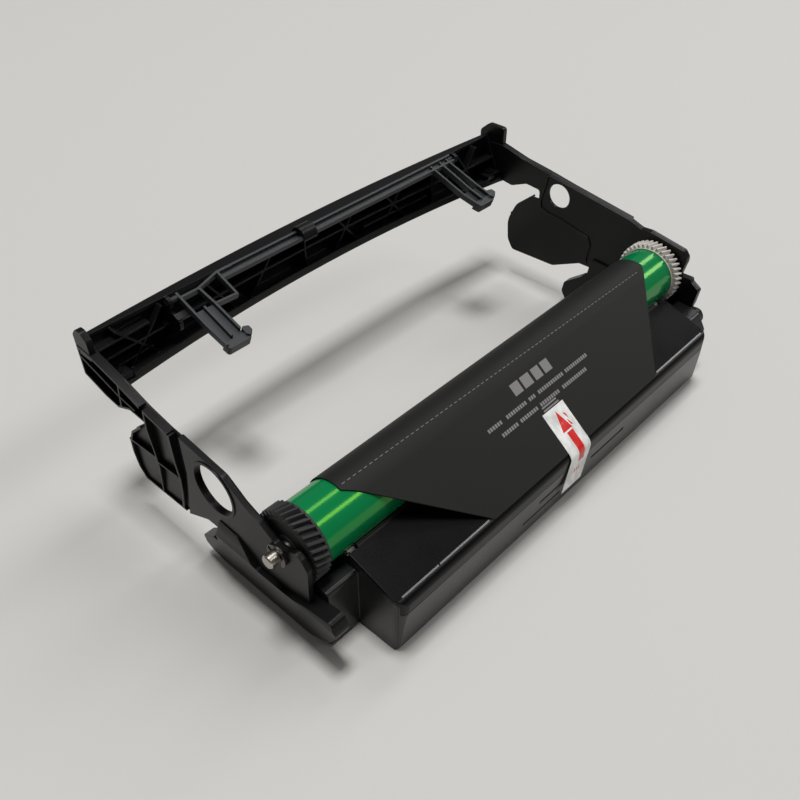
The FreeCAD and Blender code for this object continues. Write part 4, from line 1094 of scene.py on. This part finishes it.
    def build(self) -> None:
        """Make the plate as one piece."""
        crest = [corner for corner in self.top if corner[0] < self.recess_y]
        y, z, radius = self.window
        hole = self.cylinder(y, z, radius, self.shoe_in - self.margin, self.rib_out + self.margin)
        layers = [self.slab(self.rear + self.heel + self.top, self.plate_in, self.recess_out),
                  self.slab(crest + list(self.recess + self.heel), self.plate_in + 2 * self.lap, self.plate_out),
                  self.slab(self.lug, self.recess_out, self.lug_out)]
        if self.rim:
            layers.append(self.cylinder(
                y, z, radius + self.rim, self.plate_in + 4 * self.lap, self.plate_out + self.rim_height))
        if self.side is Side.FAR:
            pad = [self.pad_top, *self.step, self.pad_foot, *self.top[:-2]]
            layers.append(self.slab(pad, self.pad_in, self.plate_in + 3 * self.lap))
            ridge = strip([corner[:2] for corner in (self.ridge_top, *self.step)], self.ridge_wall)
            layers.append(self.slab(ridge, self.pad_in - self.ridge_height, self.plate_in))
        layers = [cut(layer, [hole.copy()]) for layer in layers]
        layers += [self.rib(path, self.rib_wall) for path in self.ribs]
        layers += [self.rib(path, self.front_rib_wall) for path in self.front_ribs]
        layers.append(self.shoe())
        for front, back, low, high in ((*self.tab_y, self.tab_z, self.tab_z + self.tab_height), self.beam_tab):
            tab = [(front, low), (back, low), (back, high), (front, high)]
            layers.append(self.slab(tab, self.tab_in, self.plate_in + self.tab_sink))
        mesh = soften(join(self.node, [soften(layer, self.edge) for layer in layers]), 0.0)
        put(self.node + "_finished", mesh, "frame", "frame_plastic", (self.node,))


def side_plates() -> tuple[SidePlate, SidePlate]:
    """Return both side plates.

    Returns:
        The near and the far one.
    """
    near = SidePlate(
        "left_side_plate", Side.NEAR,
        ((-12.0, -22.0), (-15.4, -18.0), (-15.8, -9.0), (-16.4, 1.7, 4), (-13.2, 6.4, 3), (-9.6, 8.4, 3),
         (-4.4, 4.6, 3), (2.0, 4.4, 3), (10.6, 9.4, 3), (19.6, 13.0), (30.5, 20.4, 6), (64.5, 23.2, 10),
         (80.0, 26.2), (96.0, 31.2, 20), (114.6, 35.4)),
        ((114.6, 32.0), (115.2, 42.0, 2), (119.0, 45.2, 3), (122.6, 45.4, 3), (126.0, 41.6, 3), (125.6, 32.0)),
        (((82.0, 26.0), (96.0, 30.4), (114.6, 34.6), (125.0, 35.4)), ((64.0, 22.4), (80.0, 25.4)),
         ((63.4, 22.4), (64.2, 6.0), (63.6, -4.0), (65.2, -14.0), (68.2, -26.0))),
        (38.6, 7.4, 11.9), 1.5, -16.0)
    far = SidePlate(
        "right_side_plate", Side.FAR,
        ((-24.0, -22.0), (-26.6, -11.5), (-27.6, -2.4, 1.5), (-22.6, 0.8, 1), (-22.0, 2.6, 1), (-15.6, 2.4),
         (-17.2, 11.0, 2), (-17.0, 13.8, 3), (-14.3, 16.9, 2), (6.6, 20.3, 1), (12.5, 19.8, 1), (20.4, 22.4, 2),
         (60.2, 28.0), (94.0, 33.0, 20), (111.0, 36.9)),
        ((111.0, 33.0), (111.0, 46.6, 2), (122.6, 46.6, 4), (128.2, 41.6, 3), (128.2, 37.2, 2), (125.6, 32.0)),
        (((76.0, 29.8), (94.0, 32.2), (110.8, 36.0), (125.0, 35.6)), ((20.4, 21.6), (60.2, 27.2), (76.0, 29.8)),
         ((57.6, 26.8), (58.0, 2.0), (60.6, -16.0), (63.6, -25.0))),
        (67.0, 19.7, 7.3), 0.0, -18.0)
    return near, far


@dataclass
class WasteBox:
    """Waste toner box with rounded front corners, and the lip along its cover."""

    left: float = -118.0
    right: float = 121.0
    front: float = -44.4
    corner: float = 5.0
    steps: int = 8
    edge: float = 0.35
    margin: float = 2.0
    block_top: float = 60.0
    lip_edge: float = 0.12
    lip: tuple[Flat, ...] = ((-41.25, 32.9), (-42.1, 32.39), (-42.3, 31.4), (-41.0, 31.8))
    lip_spans: tuple[Flat, ...] = ((-114.6, -93.0), (-92.4, -61.0), (72.5, 117.4))

    def corner_block(self, x: float, side: Side) -> bpy.types.Mesh:
        """Return the block that rounds one upright front corner.

        Args:
            x: The corner's X.
            side: The box's end.

        Returns:
            The block to cut away.
        """
        centre = (x - side * self.corner, self.front + self.corner)
        arc = [(centre[0] + side * self.corner * math.sin(a), centre[1] - self.corner * math.cos(a))
               for a in (math.pi / 2 * i / self.steps for i in range(self.steps + 1))]
        past = x + side * self.margin
        outer = [(past, centre[1]), (past, self.front - self.margin), (centre[0], self.front - self.margin)]
        return prism(arc + outer, -self.margin, self.block_top, lambda u, v, h: (u, v, h))

    def build(self) -> None:
        """Make the box, its cover and the lip, and keep the rounded edges over the table."""
        for node in ("waste_box_body", "waste_box_cover"):
            blocks = [self.corner_block(self.left, Side.NEAR), self.corner_block(self.right, Side.FAR)]
            mesh = soften(cut(node_copy(node), blocks), self.edge)
            for vert in mesh.vertices:
                vert.co.z = max(vert.co.z, 0.0)
            put(node + "_finished", mesh, "frame", slot_of(node), (node,))
        spans = [prism(self.lip, start, end, lambda u, v, h: (h, u, v)) for start, end in self.lip_spans]
        # The lip gets the lighter glossy finish: a painted highlight along the cover's front edge.
        put("cover_lip", soften(join("cover_lip", spans), self.lip_edge), "frame", "cover_plastic", finish=LIP_GLOSS_AND_PAINTED_HIGHLIGHT)


@dataclass
class DrumGear:
    """Helical gear at one end of the drum.

    Its shape holds the tooth's height share and its half width as a share of the pitch.
    """

    node: str
    slot: str
    side: Side
    teeth: int
    module: float
    rim: float
    rim_radius: float
    cap: float
    width: float
    twist: float
    drum_half: float = 127.0
    drum_radius: float = 15.0
    plug: float = 8.0
    plug_radius: float = 14.05
    bore: float = 3.15
    hub: float = 5.4
    web: float = 2.2
    ring: float = 2.2
    slices: int = 5
    tooth_height: float = 2.25
    skin: float = 0.02
    edge: float = 0.15
    shape: tuple[Flat, ...] = (
        (-0.15, 0.40), (0.0, 0.37), (0.18, 0.32), (0.45, 0.255), (0.72, 0.195), (0.93, 0.145), (1.0, 0.10))

    @property
    def tip(self) -> float:
        """Return the radius over the teeth."""
        return self.module * (self.teeth + 2) / 2

    @property
    def root(self) -> float:
        """Return the radius between the teeth."""
        return self.tip - self.tooth_height * self.module

    def tooth(self) -> bpy.types.Mesh:
        """Return one tooth of the gear.

        Returns:
            The tooth, about the X axis, with its twist in slices.
        """
        pitch = 2 * math.pi / self.teeth
        depth = self.tip - self.root
        half = [(self.root + share * depth, width * pitch) for share, width in self.shape]
        outline = [(r, -a) for r, a in half] + [(r, a) for r, a in reversed(half)]
        count = len(outline)
        start = self.drum_half + self.rim
        points = []
        faces = [tuple(range(count)), tuple(range((self.slices - 1) * count, self.slices * count))]
        for part in range(self.slices):
            share = part / (self.slices - 1)
            lean = math.radians(self.twist) * share
            points += [(self.side * (start + share * self.width), r * math.sin(a + lean), r * math.cos(a + lean))
                       for r, a in outline]
        for part in range(self.slices - 1):
            base = part * count
            faces += [(base + i, base + (i + 1) % count, base + count + (i + 1) % count, base + count + i)
                      for i in range(count)]
        return built(points, faces)

    def blank(self) -> bpy.types.Mesh:
        """Return the gear's body.

        Returns:
            One turned mesh of cap, web, hub and plug.
        """
        end = self.drum_half
        start = end + self.rim
        face = start + self.width
        ring = self.root - self.ring
        inside = self.drum_radius + self.skin
        profile = [
            (end - self.plug, self.bore), (end - self.plug, self.plug_radius), (end, self.plug_radius),
            (end, inside), (end - self.cap, inside), (end - self.cap, self.rim_radius),
            (start, self.rim_radius), (start, self.root), (face, self.root), (face, ring), (start + self.web, ring),
            (start + self.web, self.hub), (face, self.hub), (face, self.bore)]
        return revolve([(self.side * x, r) for x, r in profile])

    def build(self, repeat: RepeatTree) -> None:
        """Make the body and the ring of teeth.

        Args:
            repeat: The tree that repeats the tooth.
        """
        put(self.node + "_body", soften(self.blank(), self.edge), "drum", self.slot, (self.node,))
        shape = soften(self.tooth(), 0.0)
        teeth = repeat.run(shape, finish_for(self.slot), self.teeth, (0.0, 0.0, AXIS_Z), turn=2 * math.pi / self.teeth)
        put(self.node + "_teeth", soften(teeth, 0.0), "drum", self.slot)


def drum_gears() -> tuple[DrumGear, DrumGear]:
    """Return both gears of the drum.

    Returns:
        The black one at the near end and the white one at the far end.
    """
    near = DrumGear(
        "drum_drive_gear", "gear_black", Side.NEAR, teeth=32, module=1.0, rim=0.4, rim_radius=15.7, cap=0.8,
        width=7.2, twist=8.0, web=6.6)
    far = DrumGear(
        "drum_end_gear", "gear_white", Side.FAR, teeth=38, module=0.88, rim=0.2, rim_radius=15.5, cap=0.4,
        width=6.4, twist=-7.0)
    return near, far


@dataclass
class SheetPrint:
    """Perforation and generic pale marks on the protective sheet.

    A block or bar holds its ends in X and its edges up the sheet; a row holds
    its ends in X and its middle up the sheet.
    """

    slope: float = 38.24
    edge_y: float = -42.995
    edge_z: float = 32.171
    lift: float = 0.03
    dash: float = 1.7
    pitch: float = 3.0
    dash_width: float = 0.28
    dash_low: float = -0.2
    dash_high: float = 0.06
    perforation_from: Point = (-107.0, -2.4, 61.66)
    perforation_to: Point = (105.0, -5.4, 60.90)
    blocks: tuple[tuple[float, float, float, float], ...] = (
        (-11.2, -5.4, 35.2, 41.0), (-3.9, 2.4, 35.2, 41.0), (4.2, 9.6, 35.2, 41.0), (11.2, 16.6, 35.2, 41.0))
    bars: tuple[tuple[float, float, float, float], ...] = ((-3.0, 7.6, 23.1, 23.9), (-3.0, 8.2, 21.5, 22.3))
    rows: tuple[tuple[float, float, float], ...] = (
        (-35.5, -25.0, 30.4), (-22.6, -8.4, 30.4), (-6.2, -1.4, 30.4), (0.8, 19.6, 30.4),
        (21.8, 38.9, 30.4), (-30.2, -19.4, 25.2), (-17.2, -4.6, 25.2), (-2.4, 12.6, 25.2), (14.8, 34.6, 25.2))
    glyph: Flat = (1.15, 1.75)
    glyph_pitch: float = 1.62

    def spot(self, x: float, s: float, h: float) -> Point:
        """Return a point on the sheet's slope.

        Args:
            x: Its X.
            s: Its way up the sheet from the front edge.
            h: Its height over the sheet.

        Returns:
            The point.
        """
        lean = math.radians(self.slope)
        return (x, self.edge_y + s * math.cos(lean) - h * math.sin(lean),
                self.edge_z + s * math.sin(lean) + h * math.cos(lean))

    def mark(self, x_from: float, x_to: float, s_from: float, s_to: float) -> bpy.types.Mesh:
        """Return one flat printed mark.

        Args:
            x_from: Its left end.
            x_to: Its right end.
            s_from: Its lower edge on the sheet.
            s_to: Its upper edge.

        Returns:
            A thin mark just over the sheet.
        """
        outline = [(x_from, s_from), (x_to, s_from), (x_to, s_to), (x_from, s_to)]
        return prism(outline, 0.0, self.lift, self.spot)

    def build(self, repeat: RepeatTree) -> None:
        """Make the perforation and the marks.

        Args:
            repeat: The tree that repeats the dash and the small marks.
        """
        first = Vector(self.perforation_from)
        way = Vector(self.perforation_to) - first
        count = int(way.length / self.pitch)
        half = self.dash_width / 2
        box = [(0.0, -half), (self.dash, -half), (self.dash, half), (0.0, half)]
        dash = prism(box, self.dash_low, self.dash_high, lambda u, v, h: (u, v, h))
        dashes = repeat.run(dash, PALE_PRINT, count, tuple(first), tuple(way / count))
        put("sheet_perforation", dashes, "frame", "sheet_card", finish=PALE_PRINT)
        marks = [self.mark(*block) for block in self.blocks + self.bars]
        for x_from, x_to, s_mid in self.rows:
            copies = max(1, round((x_to - x_from) / self.glyph_pitch))
            low = s_mid - self.glyph[1] / 2
            shape = self.mark(0.0, self.glyph[0], low, low + self.glyph[1])
            step = (self.glyph_pitch, 0.0, 0.0)
            marks.append(repeat.run(shape, PALE_PRINT, copies, (x_from, 0.0, 0.0), step))
        put("sheet_marks", join("sheet_marks", marks), "frame", "sheet_card", finish=PALE_PRINT)


def dress_nodes() -> None:
    """Give every shown node the finish of its slot."""
    for name, node in frame["nodes"].items():
        material = finish_for(slot_of(name)).material()
        if not node.material_slots:
            node.data.materials.append(material)
        for place in node.material_slots:
            place.material = material
        LOG.info("node %s has the finish %s", name, material.name)


def main() -> None:
    """Build the stage and the pieces in order."""
    logging.basicConfig(level=logging.INFO, format="%(message)s")
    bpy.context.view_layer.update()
    Stage().build()
    dress_nodes()
    repeat = RepeatTree()
    Mouldings().build()
    for plate in side_plates():
        plate.build()
    WasteBox().build()
    for gear in drum_gears():
        gear.build(repeat)
    SheetPrint().build(repeat)


if __name__ == "__main__":
    main()
